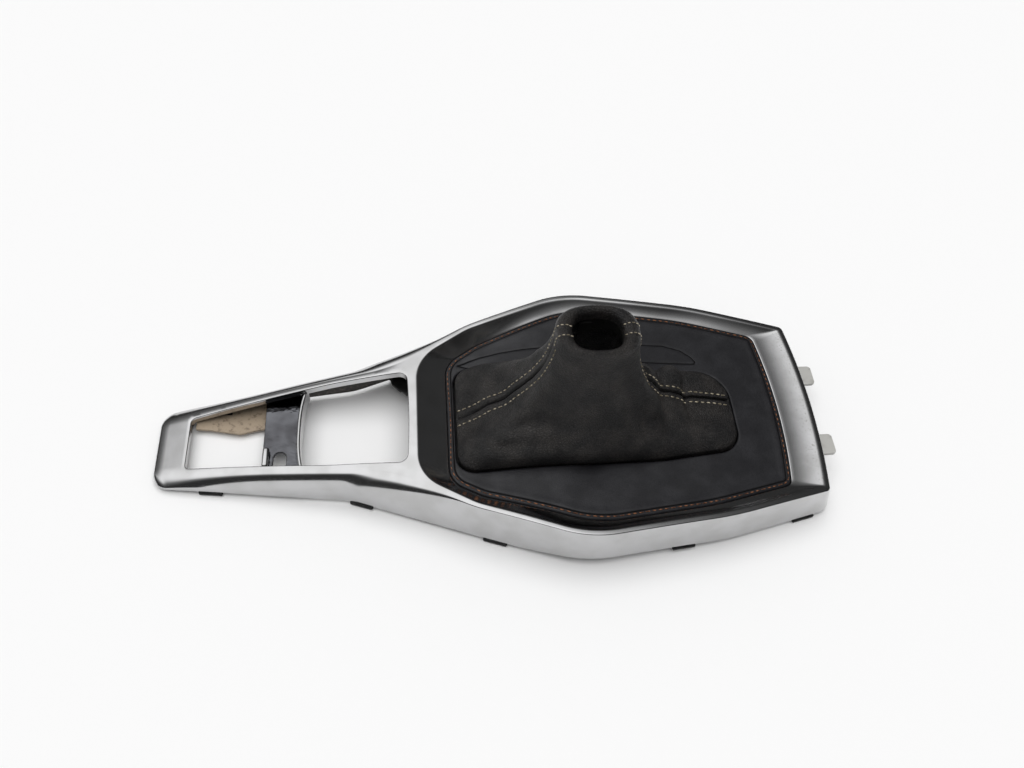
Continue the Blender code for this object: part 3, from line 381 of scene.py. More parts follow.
@dataclass(frozen=True)
class Form:
    """Shared shape of the surround: its crown line, its rim and its outlines."""

    peak_station: float = 0.270
    peak_height: float = 0.0425
    neck_drop: float = 0.0365
    end_drop: float = 0.0103
    power: float = 1.85
    length: float = 0.4594
    clip_reach: float = 0.0035
    rim_rise: float = 0.0057
    rim_start: float = 0.236
    rim_peak: float = 0.294
    rim_end: float = 0.426
    wall: float = 0.0024
    end_bulge: float = 0.0049
    fineness: int = 6
    dish_saddle: float = 0.0110
    dish_wide: float = 0.0048
    dish_fade: float = 0.080
    saddle_width: float = 0.0052
    land_width: float = 0.0037
    land_width_end: float = 0.0027
    slope_widths: tuple[float, ...] = (0.0198, 0.0098, 0.0098, 0.0078, 0.0086, 0.0205)
    leather_proud: float = 0.0007

    def crown(self, station: np.ndarray) -> np.ndarray:
        """Height of the crown line at each station."""
        before = np.clip((self.peak_station - station) / self.peak_station, 0, None)
        after = np.clip((station - self.peak_station) / (self.length - self.peak_station), 0, None)
        return self.peak_height - self.neck_drop * before**self.power - self.end_drop * after**self.power

    def rim(self, station: np.ndarray) -> np.ndarray:
        """Height of the lower rim at each station."""
        rise = ease((station - self.rim_start) / (self.rim_peak - self.rim_start))
        fall = ease((station - self.rim_peak) / (self.rim_end - self.rim_peak))
        return self.clip_reach + self.rim_rise * (rise - fall)

    def floor(self, station: np.ndarray) -> np.ndarray:
        """Height of the dish's lower edge at each station."""
        start = self.window().corners[-1][0] + self.saddle_width + self.slope_widths[0]
        fade = ease((station - start) / self.dish_fade)
        return self.crown(station) - self.dish_saddle - (self.dish_wide - self.dish_saddle) * fade

    def leather(self, station: np.ndarray) -> np.ndarray:
        """Height of the leather's face at each station."""
        return self.floor(station) + self.leather_proud

    def fold(self) -> Outline:
        """Outline of the crown fold."""
        corners = ((0.0045, 0.0223, 0.006), (0.1670, 0.0412, 0.085), (0.2190, 0.0738, 0.045),
                   (0.2900, 0.1003, 0.075), (0.3850, 0.0873, 0.250), (0.4538, 0.0692, 0.003))
        return Outline(0.0045, corners, (4, 11, 2, 5, 5, 4, 6), (3, 4, 3, 5, 3, 3), self.end_bulge)

    def foot(self) -> Outline:
        """Outline of the lower rim."""
        corners = ((0.0030, 0.0294, 0.012), (0.1360, 0.0455, 0.045), (0.2250, 0.0777, 0.120),
                   (0.2905, 0.1008, 0.075), (0.3853, 0.0878, 0.250), (0.4625, 0.0686, 0.009))
        return Outline(0.0030, corners, (4, 11, 2, 5, 5, 4, 6), (3, 4, 3, 5, 3, 3), self.end_bulge)

    def window(self) -> Outline:
        """Outline of the window that the neck frames."""
        corners = ((0.0248, 0.0208, 0.005), (0.1250, 0.0336, 0.150), (0.1769, 0.0374, 0.0065))
        return Outline(0.0248, corners, (3, 8, 4, 4), (3, 2, 3), 0.0012)

    def dish(self) -> tuple[Outline, Outline]:
        """Outlines of the crest's inner fold and of the dish's lower edge."""
        window = self.window()
        start = window.corners[-1][0] + window.bulge + self.saddle_width
        folds = self.fold().corners
        before, after = folds[1:3]
        share = (start - before[0]) / (after[0] - before[0])
        outer = ((start, before[1] + (after[1] - before[1]) * share, 0.0),) + folds[2:]
        spans = (4, 2, 4, 5, 4, 6)
        arcs = (5, 3, 5, 3, 4)
        middle = tuple(c[2] for c in folds[2:5])
        lands = (0.0, *[self.land_width] * 4, self.land_width_end)
        upper = Outline(start, outer, spans, arcs, self.end_bulge).inset(lands, (0.030, *middle, 0.0015))
        lower = upper.inset(self.slope_widths, (0.019, *middle, 0.006))
        return upper, lower

    def panel(self, distance: float) -> np.ndarray:
        """Loop round the panel, inside the dish's lower edge by a distance."""
        return self.dish()[1].inset(distance).loop(self.fineness)

    def hole(self, distance: float) -> np.ndarray:
        """Loop round the gaiter's hole, made larger by a distance.

        Args:
            distance: Distance outwards from the leather's edge.

        Returns:
            Stations and half widths, matched point by point to the loops round the panel.
        """
        near = ((0.2084, 0.0430, 0.014), (0.2620, 0.0445, 0.200), (0.3030, 0.0447, 0.200),
                (0.3450, 0.0435, 0.100), (0.4020, 0.0352, 0.018))
        far = ((0.2084, 0.0425, 0.012), (0.2700, 0.0375, 0.200), (0.3070, 0.0338, 0.200),
               (0.3440, 0.0305, 0.200), (0.4020, 0.0290, 0.023))
        halves = []
        for corners in (near, far):
            outline = Outline(0.2084, corners, (4, 2, 4, 5, 4, 6), (5, 3, 5, 3, 4))
            halves.append(outline.inset(-distance).half(self.fineness))
        return np.vstack((halves[1], halves[0][-2:0:-1] * (1, -1)))


# Materials


def linear(hex_colour: str) -> tuple[float, float, float, float]:
    """Linear colour of an sRGB hex value.

    Args:
        hex_colour: Six hex digits after a hash sign.

    Returns:
        Red, green, blue and full opacity.
    """
    parts = [int(hex_colour[i:i + 2], 16) / 255 for i in (1, 3, 5)]
    parts = [c / 12.92 if c <= 0.04045 else ((c + 0.055) / 1.055) ** 2.4 for c in parts]
    return (*parts, 1.0)


def add_node(tree: bpy.types.NodeTree, kind: str, settings: dict | None = None,
             inputs: dict | None = None) -> bpy.types.Node:
    """Add a node with its settings, and fill or link its inputs.

    Args:
        tree: Node tree that gets the node.
        kind: Type name of the node.
        settings: Attributes of the node.
        inputs: Values or output sockets by the input's name or index.

    Returns:
        The node.
    """
    node = tree.nodes.new(kind)
    for name, value in (settings or {}).items():
        setattr(node, name, value)
    for name, value in (inputs or {}).items():
        if isinstance(value, bpy.types.NodeSocket):
            tree.links.new(value, node.inputs[name])
        else:
            node.inputs[name].default_value = value
    return node


@dataclass(frozen=True)
class Surface:
    """Base of the finishes: a named Principled material with a bump."""

    finish: Finish
    roughness: float
    metallic: float = 0.0
    bump: float = 0.3
    bump_depth: float = 0.0001

    def start(self) -> tuple[bpy.types.Material, bpy.types.Node, bpy.types.NodeSocket]:
        """Make the material, its shader and the place that its patterns read."""
        mat = bpy.data.materials.new(self.finish.value)
        mat.use_nodes = True
        shader = mat.node_tree.nodes["Principled BSDF"]
        shader.inputs["Roughness"].default_value = self.roughness
        shader.inputs["Metallic"].default_value = self.metallic
        place = add_node(mat.node_tree, "ShaderNodeTexCoord").outputs["Object"]
        return mat, shader, place

    def emboss(self, tree: bpy.types.NodeTree, shader: bpy.types.Node, height: bpy.types.NodeSocket) -> None:
        """Feed a height pattern to the shader's normal."""
        bump = add_node(tree, "ShaderNodeBump", None,
                        {"Strength": self.bump, "Distance": self.bump_depth, "Height": height})
        tree.links.new(bump.outputs["Normal"], shader.inputs["Normal"])

    @staticmethod
    def noise(tree: bpy.types.NodeTree, place: bpy.types.NodeSocket, size: float, detail: float = 2.0,
              stretch: tuple[float, float, float] = (1.0, 1.0, 1.0)) -> bpy.types.NodeSocket:
        """Noise whose lumps are about a size across.

        Args:
            tree: Node tree that gets the nodes.
            place: Coordinates to read.
            size: Width of a lump.
            detail: Finer layers of noise.
            stretch: Scale along each axis.

        Returns:
            The noise's value, from 0 to 1.
        """
        mapped = add_node(tree, "ShaderNodeMapping", None, {"Vector": place, "Scale": stretch})
        pattern = add_node(tree, "ShaderNodeTexNoise", None,
                           {"Vector": mapped.outputs[0], "Scale": 1 / size, "Detail": detail})
        return pattern.outputs["Fac"]

    @staticmethod
    def ramp(tree: bpy.types.NodeTree, value: bpy.types.NodeSocket, low: float, high: float,
             start: float = 0.0, end: float = 1.0) -> bpy.types.NodeSocket:
        """Map a value's range from low to high onto start to end.

        Args:
            tree: Node tree that gets the node.
            value: Value to map.
            low: Value that gives start.
            high: Value that gives end.
            start: Result at low.
            end: Result at high.

        Returns:
            The mapped value.
        """
        node = add_node(tree, "ShaderNodeMapRange", {"interpolation_type": "SMOOTHSTEP"},
                        {"Value": value, "From Min": low, "From Max": high, "To Min": start, "To Max": end})
        return node.outputs["Result"]

    @staticmethod
    def blend(tree: bpy.types.NodeTree, share: bpy.types.NodeSocket, first: object,
              second: object) -> bpy.types.NodeSocket:
        """Mix two colours, each a value or a socket, by a share."""
        node = add_node(tree, "ShaderNodeMix", {"data_type": "RGBA"}, {0: share, 6: first, 7: second})
        return node.outputs[2]


@dataclass(frozen=True)
class SatinChrome(Surface):
    """Satin chrome plated on moulded ABS: a soft metal mirror with faint pitting and handling wear."""

    finish: Finish = Finish.CHROME
    roughness: float = 0.15
    metallic: float = 1.0
    bump: float = 0.12
    bump_depth: float = 0.00005
    clean: str = "#c3c3c4"
    dull: str = "#b9b9b9"
    end_station: float = 0.4350
    grain: float = 0.35 * MM

    def make(self) -> None:
        """Build the material."""
        mat, shader, place = self.start()
        tree = mat.node_tree
        # Cloudiness of the plating over about 18 mm, and pits of 0.5 mm drawn at 0.9 mm to show
        cloud = self.noise(tree, place, 18 * MM, 2.0)
        pits = self.noise(tree, place, 0.9 * MM, 2.0)
        x = add_node(tree, "ShaderNodeSeparateXYZ", None, {0: place}).outputs["X"]
        tail = self.ramp(tree, x, LEFT_X + self.end_station, LEFT_X + self.end_station + 0.03)
        speck = self.ramp(tree, pits, 0.60, 0.70)
        dirt = add_node(tree, "ShaderNodeMath", {"operation": "MULTIPLY"}, {0: tail, 1: speck}).outputs[0]
        colour = self.blend(tree, self.ramp(tree, cloud, 0.35, 0.7), linear(self.clean), linear(self.dull))
        colour = self.blend(tree, dirt, colour, linear("#7d7a75"))
        tree.links.new(colour, shader.inputs["Base Color"])
        rough = self.ramp(tree, cloud, 0.3, 0.75, self.roughness - 0.015, self.roughness + 0.02)
        tree.links.new(rough, shader.inputs["Roughness"])
        # The satin of the plating: 0.25 mm grain, drawn at 0.35 mm
        self.emboss(tree, shader, self.noise(tree, place, self.grain, 3.0))


@dataclass(frozen=True)
class Leather(Surface):
    """Finished hide: pebbled grain, faint cloudiness and grooves where it is pressed or sewn, with painted shade
    in the grain's valleys and in the grooves.
    """

    base: str = "#26272b"
    worn: str = "#34353a"
    grain: float = 0.9 * MM
    specular: float = 0.45
    groove: str = "groove"
    lines: tuple[str, ...] = ()
    wrinkle: float = 0.4

    def make(self) -> None:
        """Build the material."""
        mat, shader, place = self.start()
        tree = mat.node_tree
        shader.inputs["Specular IOR Level"].default_value = self.specular
        # Grain cells of natural hide, about a millimetre across
        wobble = add_node(tree, "ShaderNodeTexNoise", None,
                          {"Vector": place, "Scale": 1 / (3 * MM), "Detail": 2.0})
        shift = add_node(tree, "ShaderNodeVectorMath", {"operation": "MULTIPLY_ADD"},
                         {0: wobble.outputs["Color"], 1: (0.7 * MM,) * 3, 2: place})
        cells = add_node(tree, "ShaderNodeTexVoronoi", {"feature": "DISTANCE_TO_EDGE"},
                         {"Vector": shift.outputs[0], "Scale": 1 / self.grain, "Randomness": 1.0})
        pebble = self.ramp(tree, cells.outputs["Distance"], 0.0, 0.28)
        fine = self.noise(tree, place, 0.5 * MM, 3.0)
        cloud = self.noise(tree, place, 14 * MM, 4.0)
        # Mask of the grooves: it dents the hide, dulls it and paints shade into its colour below
        crease = add_node(tree, "ShaderNodeAttribute", {"attribute_name": self.groove}).outputs["Fac"]
        for name in self.lines:
            # Distance from a pressed line in millimetres: the line is 0.9 mm wide, and it gets painted shade as
            # well as its dent
            gap = add_node(tree, "ShaderNodeAttribute", {"attribute_name": name}).outputs["Fac"]
            size = add_node(tree, "ShaderNodeMath", {"operation": "ABSOLUTE"}, {0: gap}).outputs[0]
            line = self.ramp(tree, size, 0.25, 0.75, 1.0, 0.0)
            crease = add_node(tree, "ShaderNodeMath", {"operation": "MAXIMUM"},
                              {0: crease, 1: line}).outputs[0]
        height = add_node(tree, "ShaderNodeMath", {"operation": "MULTIPLY_ADD"}, {0: fine, 1: 0.5, 2: pebble})
        # Handling wrinkles, about 6 mm apart
        folds = self.noise(tree, place, 6 * MM, 4.0)
        height = add_node(tree, "ShaderNodeMath", {"operation": "MULTIPLY_ADD"},
                          {0: folds, 1: self.wrinkle, 2: height.outputs[0]})
        height = add_node(tree, "ShaderNodeMath", {"operation": "MULTIPLY_ADD"},
                          {0: crease, 1: -5.0, 2: height.outputs[0]})
        self.emboss(tree, shader, height.outputs[0])
        colour = self.blend(tree, self.ramp(tree, cloud, 0.35, 0.72), linear(self.base), linear(self.worn))
        # Painted shade: the grain's valleys at the cell edges are darkened towards near black
        dark = self.blend(tree, self.ramp(tree, pebble, 0.0, 0.5, 0.55, 0.0), colour, linear("#08080a"))
        # Painted shade: near black in the seam dents, the sewn groove and the pressed outline
        dark = self.blend(tree, crease, dark, linear("#060607"))
        tree.links.new(dark, shader.inputs["Base Color"])
        rough = self.ramp(tree, cloud, 0.3, 0.75, self.roughness + 0.06, self.roughness - 0.06)
        rough = add_node(tree, "ShaderNodeMath", {"operation": "MAXIMUM"}, {0: rough, 1: crease}).outputs[0]
        tree.links.new(rough, shader.inputs["Roughness"])


@dataclass(frozen=True)
class Thread(Surface):
    """Bonded polyester sewing thread: a dull twisted yarn, with painted shade in the grooves of its twist."""

    roughness: float = 0.7
    bump: float = 0.6
    bump_depth: float = 0.00008
    colour: str = "#8c5c3d"
    shade: str = "#4a2d1d"

    def make(self) -> None:
        """Build the material."""
        mat, shader, place = self.start()
        tree = mat.node_tree
        # Twist of the yarn, one turn a millimetre, drawn slanted
        twist = add_node(tree, "ShaderNodeTexWave", {"bands_direction": "DIAGONAL"},
                         {"Vector": place, "Scale": 1 / (6 * MM), "Distortion": 1.5})
        cloud = self.noise(tree, place, 5 * MM, 2.0)
        mixed = add_node(tree, "ShaderNodeMath", {"operation": "MULTIPLY"},
                         {0: twist.outputs["Fac"], 1: cloud})
        # Painted shade along the twist's bands, broken up by a random tone of the yarn
        colour = self.blend(tree, self.ramp(tree, mixed.outputs[0], 0.1, 0.5), linear(self.shade),
                            linear(self.colour))
        tree.links.new(colour, shader.inputs["Base Color"])
        self.emboss(tree, shader, twist.outputs["Fac"])


@dataclass(frozen=True)
class Moulding(Surface):
    """Black ABS moulding: fine spark-eroded texture, a little dust."""

    finish: Finish = Finish.MOULDING
    roughness: float = 0.5
    base: str = "#121212"
    dusty: str = "#2a2927"
    dust_size: float = 9 * MM

    def make(self) -> None:
        """Build the material."""
        mat, shader, place = self.start()
        tree = mat.node_tree
        # Mould texture of 0.3 mm, drawn at 0.5 mm
        grain = self.noise(tree, place, 0.5 * MM, 2.0)
        dust = self.noise(tree, place, self.dust_size, 4.0)
        colour = self.blend(tree, self.ramp(tree, dust, 0.5, 0.8), linear(self.base), linear(self.dusty))
        tree.links.new(colour, shader.inputs["Base Color"])
        self.emboss(tree, shader, grain)


@dataclass(frozen=True)
class SpringSteel(Surface):
    """Phosphated spring steel strip: near black, oily, with grey scuffs along it."""

    finish: Finish = Finish.SPRING
    roughness: float = 0.42
    metallic: float = 0.3

    def make(self) -> None:
        """Build the material."""
        mat, shader, place = self.start()
        tree = mat.node_tree
        # Scuffs about 4 mm long and 0.4 mm wide
        scuff = self.noise(tree, place, 4 * MM, 3.0, (1.0, 1.0, 10.0))
        colour = self.blend(tree, self.ramp(tree, scuff, 0.55, 0.75), linear("#161617"), linear("#4a4a4a"))
        tree.links.new(colour, shader.inputs["Base Color"])
        self.emboss(tree, shader, self.noise(tree, place, 0.4 * MM, 2.0))


@dataclass(frozen=True)
class Zinc(Surface):
    """Bright zinc plate on steel screws: grey metal with a faint cloudy bloom."""

    finish: Finish = Finish.ZINC
    roughness: float = 0.35
    metallic: float = 1.0

    def make(self) -> None:
        """Build the material."""
        mat, shader, place = self.start()
        tree = mat.node_tree
        # Bloom of the plating over 2 mm
        bloom = self.noise(tree, place, 2 * MM, 3.0)
        colour = self.blend(tree, self.ramp(tree, bloom, 0.35, 0.7), linear("#b9bab8"), linear("#8f8f88"))
        tree.links.new(colour, shader.inputs["Base Color"])
        self.emboss(tree, shader, self.noise(tree, place, 0.4 * MM, 2.0))


@dataclass(frozen=True)
class Paper(Surface):
    """Matt paper sweep under the object: plain and pale."""

    finish: Finish = Finish.PAPER
    roughness: float = 0.95
    bump: float = 0.05
    colour: str = "#fafafa"

    def make(self) -> None:
        """Build the material."""
        mat, shader, place = self.start()
        shader.inputs["Base Color"].default_value = linear(self.colour)
        shader.inputs["Specular IOR Level"].default_value = 0.1
        # Tooth of the paper, 0.6 mm
        self.emboss(mat.node_tree, shader, self.noise(mat.node_tree, place, 0.6 * MM, 2.0))


def make_finishes() -> None:
    """Make every material of the scene."""
    surfaces = (
        SatinChrome(),
        Leather(Finish.PANEL_HIDE, 0.42, bump=0.35, base="#1d1d20", worn="#2a2a2d", lines=("mark", "border")),
        Leather(Finish.GAITER_HIDE, 0.5, bump=0.9, bump_depth=0.0003, base="#1b1a1a", worn="#2e2b29",
                grain=1.7 * MM, specular=0.5, wrinkle=3.5),
        Thread(Finish.PANEL_THREAD),
        Thread(Finish.GAITER_THREAD, colour="#b9af9a", shade="#6e6654"),
        Moulding(),
        Moulding(Finish.RAW, 0.6, base="#a3937f", dusty="#6d5f50", dust_size=2.5 * MM),
        Moulding(Finish.BACK, 0.42, base="#37332f", dusty="#6a6257", dust_size=2.5 * MM),
        Moulding(Finish.TONGUE, 0.38, base="#b4b3af", dusty="#95938e"),
        SatinChrome(Finish.GLOSS, 0.10, bump=0.5, bump_depth=0.0008, clean="#66676b", dull="#4a4a4d",
                    grain=5 * MM),
        SpringSteel(),
        Zinc(),
        Paper(),
    )
    for surface in surfaces:
        surface.make()


# Bezel


@dataclass
class Bezel:
    """Plated bezel: one moulding with its bridge, ledge, gusset, tongues, tabs and bosses."""

    form: Form
    wall: float = 0.0024
    bead_neck: float = 0.0008
    bead_wide: float = 0.0012
    bead_land: float = 0.0012
    lip: float = 0.0008
    window_flange: float = 0.0050
    dish_flange: float = 0.0045
    hollow: float = 0.0006
    camber: float = 0.16
    camber_reach: float = 0.0032
    grid: float = 0.0025
    tongue_y: float = 0.0293
    tongue_height: float = 0.0263
    bridge: tuple[float, float] = (0.0770, 0.1022)
    bridge_drop: float = 0.0095
    bridge_thick: float = 0.0025
    near_tabs: tuple[float, ...] = (0.0424, 0.1436, 0.2319, 0.3566, 0.4434)
    far_tabs: tuple[float, ...] = (0.0424, 0.1700, 0.2319, 0.3566, 0.4434)
    ease_reach: int = 30
    ease_spread: float = 13.0
    ease_rise: tuple[float, float] = (0.070, 0.030)
    ease_fall: tuple[float, float] = (0.235, 0.025)

    def fade(self, station: np.ndarray) -> np.ndarray:
        """How far the neck's shape has given way to the wide part's at each station."""
        return ease((station - 0.172) / 0.060)

    def shoulder(self, station: np.ndarray) -> np.ndarray:
        """Height of the shoulder at each station."""
        neck = 0.0022 + 0.0088 * ease(station / 0.090)
        return neck + (0.0013 - neck) * self.fade(station)

    def land_height(self, points: np.ndarray, ring: np.ndarray) -> np.ndarray:
        """Height of the land, cambered up from the fold along the neck.

        Args:
            points: Stations and half widths.
            ring: Loop of the crown fold.

        Returns:
            Height of each point.
        """
        neck = 1 - ease((points[:, 0] - 0.158) / 0.022)
        gap = np.minimum(distance_to(points, ring), self.camber_reach)
        return self.form.crown(points[:, 0]) + self.camber * gap * neck

    def outer_rows(self) -> tuple[Rows, np.ndarray]:
        """Rows from the land's outer edge over the crest and the shoulder to the rim.

        Returns:
            The rows, and the loop of the crown fold.
        """
        form = self.form
        fold = form.fold().loop(form.fineness)
        foot = form.foot().loop(form.fineness)
        inner = form.fold().inset(self.bead_wide).loop(form.fineness)
        foot = self.ease_match(fold, foot)
        fade = self.fade(fold[:, 0])
        bead = self.bead_neck + (self.bead_wide - self.bead_neck) * fade
        edge = fold + (inner - fold) * (bead / self.bead_wide)[:, None]
        land = place(edge, self.land_height(edge, fold))
        corner = place(fold, form.crown(fold[:, 0]))
        reach = 1 - 0.88 * fade
        drop = self.shoulder(fold[:, 0])
        end = place(fold + (foot - fold) * reach[:, None], form.crown(fold[:, 0]) - drop)
        out = 0.62 + 0.08 * fade
        down = 0.10 + 0.12 * fade
        control = corner + (end - corner) * np.column_stack((out, out, down))
        width = np.linalg.norm(end - corner, axis=1)
        first = np.clip(bead / width, 0.04, 0.5)

        def along(t: np.ndarray) -> np.ndarray:
            """Ring on the shoulder at a share of its way for each point."""
            t = t[:, None]
            return corner * (1 - t) ** 2 + control * 2 * t * (1 - t) + end * t * t

        rows = [land] + bend(land, corner, along(first), 5)
        for step in range(1, 10):
            rows.append(along(first + (1 - first) * step / 10))
        rows += [along(np.full(len(fold), 0.985)), end]
        rim = place(foot, form.rim(fold[:, 0]))
        low = mix(end, rim, 0.97)
        rows.append(mix(end, rim, 0.02))
        rows += blend_rows(rows[-1], low, 5)
        tucked = rim + place(fold - foot, np.zeros(len(fold))) * 0.06 - np.array((LEFT_X, 0, 0)) * 0.06
        rows += bend(low, rim, tucked, 2)
        return rows, fold

    def ease_match(self, fold: np.ndarray, foot: np.ndarray) -> np.ndarray:
        """Foot loop whose points follow the fold's evenly where the neck widens.

        Args:
            fold: Loop of the crown fold.
            foot: Loop of the lower rim, matched by count.

        Returns:
            The eased foot loop.
        """
        offset = foot - fold
        reach = self.ease_reach
        weights = np.exp(-(np.arange(-reach, reach + 1) / self.ease_spread) ** 2)
        weights /= weights.sum()
        eased = sum(w * np.roll(offset, k, 0) for k, w in zip(range(-reach, reach + 1), weights))
        rise, fall = self.ease_rise, self.ease_fall
        share = ease((fold[:, 0] - rise[0]) / rise[1]) * (1 - ease((fold[:, 0] - fall[0]) / fall[1]))
        moved = fold + offset + (eased - offset) * share[:, None]
        half = self.form.foot().half(2)
        for point, blend in zip(moved, share):
            if blend > 0.0:
                point[1] = math.copysign(side_at(half, point[0]), point[1])
        return moved

    def dish_rows(self) -> Rows:
        """Rows from the land's inner edge down the dish to its flange."""
        form = self.form
        upper, lower = form.dish()
        top = upper.loop(form.fineness)
        low = lower.loop(form.fineness)
        edge = upper.inset(-self.bead_land).loop(form.fineness)
        start = place(top, form.crown(top[:, 0]))
        end = place(low, form.floor(low[:, 0]))
        control = (start + end) / 2 - np.array((0, 0, 2 * self.hollow))
        width = np.linalg.norm(end - start, axis=1)
        first = np.clip(1.3 * MM / width, 0.0, 0.3)
        last = 1 - np.clip(0.7 * MM / width, 0.0, 0.2)

        def along(t: np.ndarray) -> np.ndarray:
            """Ring on the slope at a share of its way for each point."""
            t = t[:, None]
            return start * (1 - t) ** 2 + control * 2 * t * (1 - t) + end * t * t

        land = place(edge, form.crown(edge[:, 0]))
        rows = [land] + bend(land, start, along(first), 5)
        for step in range(1, 11):
            rows.append(along(first + (last - first) * step / 10))
        rows += bend(rows[-1], end, end - np.array((0, 0, 0.6 * MM)), 3)
        rows += blend_rows(rows[-1], end - np.array((0, 0, self.dish_flange)), 2)
        return rows

    def window_rows(self, fold: np.ndarray) -> Rows:
        """Rows of the window's rounded lip and of its flange."""
        window = self.form.window()
        outer = window.loop(self.form.fineness)
        inner = window.inset(self.lip).loop(self.form.fineness)
        height = self.land_height(outer, fold)
        start = place(outer, height)
        end = place(inner, height - self.lip)
        rows = [start] + bend(start, place(inner, height), end, 5)
        rows += blend_rows(end, end - np.array((0, 0, self.window_flange - self.lip)), 3)
        return rows

    def fill_land(self, bm: bmesh.types.BMesh, outer: list, holes: list[list], fold: np.ndarray) -> None:
        """Fill the land between the crest and the openings' edges.

        Args:
            bm: Mesh that gets the faces.
            outer: Vertices of the land's outer edge.
            holes: Vertices of each opening's edge.
            fold: Loop of the crown fold.
        """
        rings = [outer] + holes
        verts = [v for ring in rings for v in ring]
        edges = []
        start = 0
        for ring in rings:
            count = len(ring)
            edges += [(start + i, start + (i + 1) % count) for i in range(count)]
            start += count
        flats = [np.array([(v.co.x, v.co.y) for v in ring]) for ring in rings]
        low = flats[0].min(0)
        high = flats[0].max(0)
        xs, ys = np.meshgrid(np.arange(low[0], high[0], self.grid), np.arange(low[1], high[1], self.grid))
        spots = np.column_stack((xs.ravel(), ys.ravel()))
        keep = inside(spots, flats[0])
        for flat in flats[1:]:
            keep &= ~inside(spots, flat)
        spots = spots[keep]
        gap = np.minimum.reduce([distance_to(spots, flat) for flat in flats])
        spots = spots[gap > self.grid * 0.5]
        stations = spots - np.array((LEFT_X, 0))
        heights = self.land_height(stations, fold)
        verts += [bm.verts.new((p[0], p[1], z)) for p, z in zip(spots, heights)]
        flat = [Vector((v.co.x, v.co.y)) for v in verts]
        result = delaunay_2d_cdt(flat, edges, [], 1, 1e-9)
        centres = np.array([[sum(verts[result[3][i][0]].co[k] for i in face) / 3 for k in (0, 1)]
                            for face in result[2]])
        free = np.ones(len(centres), bool)
        for ring in flats[1:]:
            free &= ~inside(centres, ring)
        for face, good in zip(result[2], free):
            if good:
                bm.faces.new([verts[result[3][i][0]] for i in face])

    def shell(self) -> bpy.types.Object:
        """Fine skin of the bezel with its wall."""
        bm = bmesh.new()
        rows, fold = self.outer_rows()
        walls = skin(bm, rows)
        dish = skin(bm, self.dish_rows())
        lips = skin(bm, self.window_rows(fold))
        self.fill_land(bm, walls[0], [dish[0], lips[0]], fold)
        bmesh.ops.recalc_face_normals(bm, faces=bm.faces)
        top = max(bm.faces, key=lambda f: f.calc_center_median().z)
        if top.normal.z < 0:
            bmesh.ops.reverse_faces(bm, faces=bm.faces)
        obj = make_object("bezel_dressed", bm, Finish.CHROME)
        for finish in (Finish.GLOSS, Finish.RAW, Finish.MOULDING, Finish.BACK, Finish.TONGUE):
            obj.data.materials.append(bpy.data.materials[finish.value])
        wall = obj.modifiers.new("Wall", "SOLIDIFY")
        wall.thickness = self.wall
        wall.offset = -1.0
        wall.material_offset = 4
        wall.material_offset_rim = 4
        wall.use_even_offset = True
        wall.thickness_clamp = 1.0
        apply_modifiers(obj)
        return obj

    def build(self) -> bpy.types.Object:
        """Build the bezel and dress it.

        Returns:
            The bezel, which stands for its node.
        """
        shell = self.shell()
        parts = self.bridge_parts() + self.tongue_parts() + self.tab_parts()
        join_into(shell, parts)
        smooth(shell, 62)
        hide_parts("bezel")
        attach(shell, BODY)
        return shell

    def half_at(self, outline: Outline, station: float) -> float:
        """Half width of an outline's long side at a station."""
        return side_at(outline.half(2), station)

    def bridge_parts(self) -> list[bpy.types.Object]:
        """Plate with its hole, ridge, bar, ledge and gusset between and inside the windows."""
        left, right = self.bridge
        middle = (left + right) / 2
        level = float(self.form.crown(np.array(middle))) - self.bridge_drop
        reach = self.half_at(self.form.fold(), middle) + 3.5 * MM
        hole = [(0.0889 - 0.0044, -0.0260), (0.0889 + 0.0044, -0.0260)]
        for step in range(25):
            angle = math.pi * step / 24
            hole.append((0.0889 + 0.0044 * math.cos(angle), -0.0154 + 0.0044 * math.sin(angle)))

        def dip(points: np.ndarray) -> np.ndarray:
            """Height of the plate, which dips in its middle."""
            return level - 1.5 * MM * (1 - (points[:, 1] / reach) ** 2)

        edge = [(left, y) for y in np.linspace(reach, -reach, 41)]
        edge += [(right, y) for y in np.linspace(-reach, reach, 41)]
        plate = slab("bridge_plate", np.array(edge), np.array(hole), dip, self.bridge_thick)
        parts = [paint(bevel(plate, 0.35 * MM), 1), self.ridge(level)]
        bar = box_object("bridge_bar", (left + 0.4 * MM, -0.0240, level - 1.25 * MM),
                         (left + 4.9 * MM, -0.0090, level + 3.0 * MM))
        parts.append(bevel(bar, 1.6 * MM, 5))
        ledge = ((0.0275, 0.0158), (0.0370, 0.0147), (0.0584, 0.0103), (0.0700, 0.0133), (0.0768, 0.0137))
        gusset = ((0.1649, 0.0411), (0.1706, 0.0345), (0.1721, 0.0345), (0.1749, 0.0314), (0.1800, 0.0310))
        notch = ((0.0330, 0.0265), (0.0518, 0.0268))
        for name, line, cut, height in (("ledge", ledge, notch, 6.0 * MM), ("gusset", gusset, (), 16.8 * MM)):
            root = [(s, self.half_at(self.form.foot(), s) - 1.2 * MM) for s, _ in line]
            if cut:
                (a, low), (b, high) = cut
                root = [p for p in root if not a < p[0] < b]
                root += [(a, self.half_at(self.form.foot(), a) - 1.2 * MM), (a + 0.1 * MM, low),
                         (b - 0.1 * MM, high), (b, self.half_at(self.form.foot(), b) - 1.2 * MM)]
            edge = np.array(list(line) + sorted(root, reverse=True))
            web = slab(name, edge, None, lambda points, height=height: np.full(len(points), height), 2.0 * MM)
            parts.append(paint(bevel(web, 0.3 * MM), 2 if name == "ledge" else 3))
        return parts

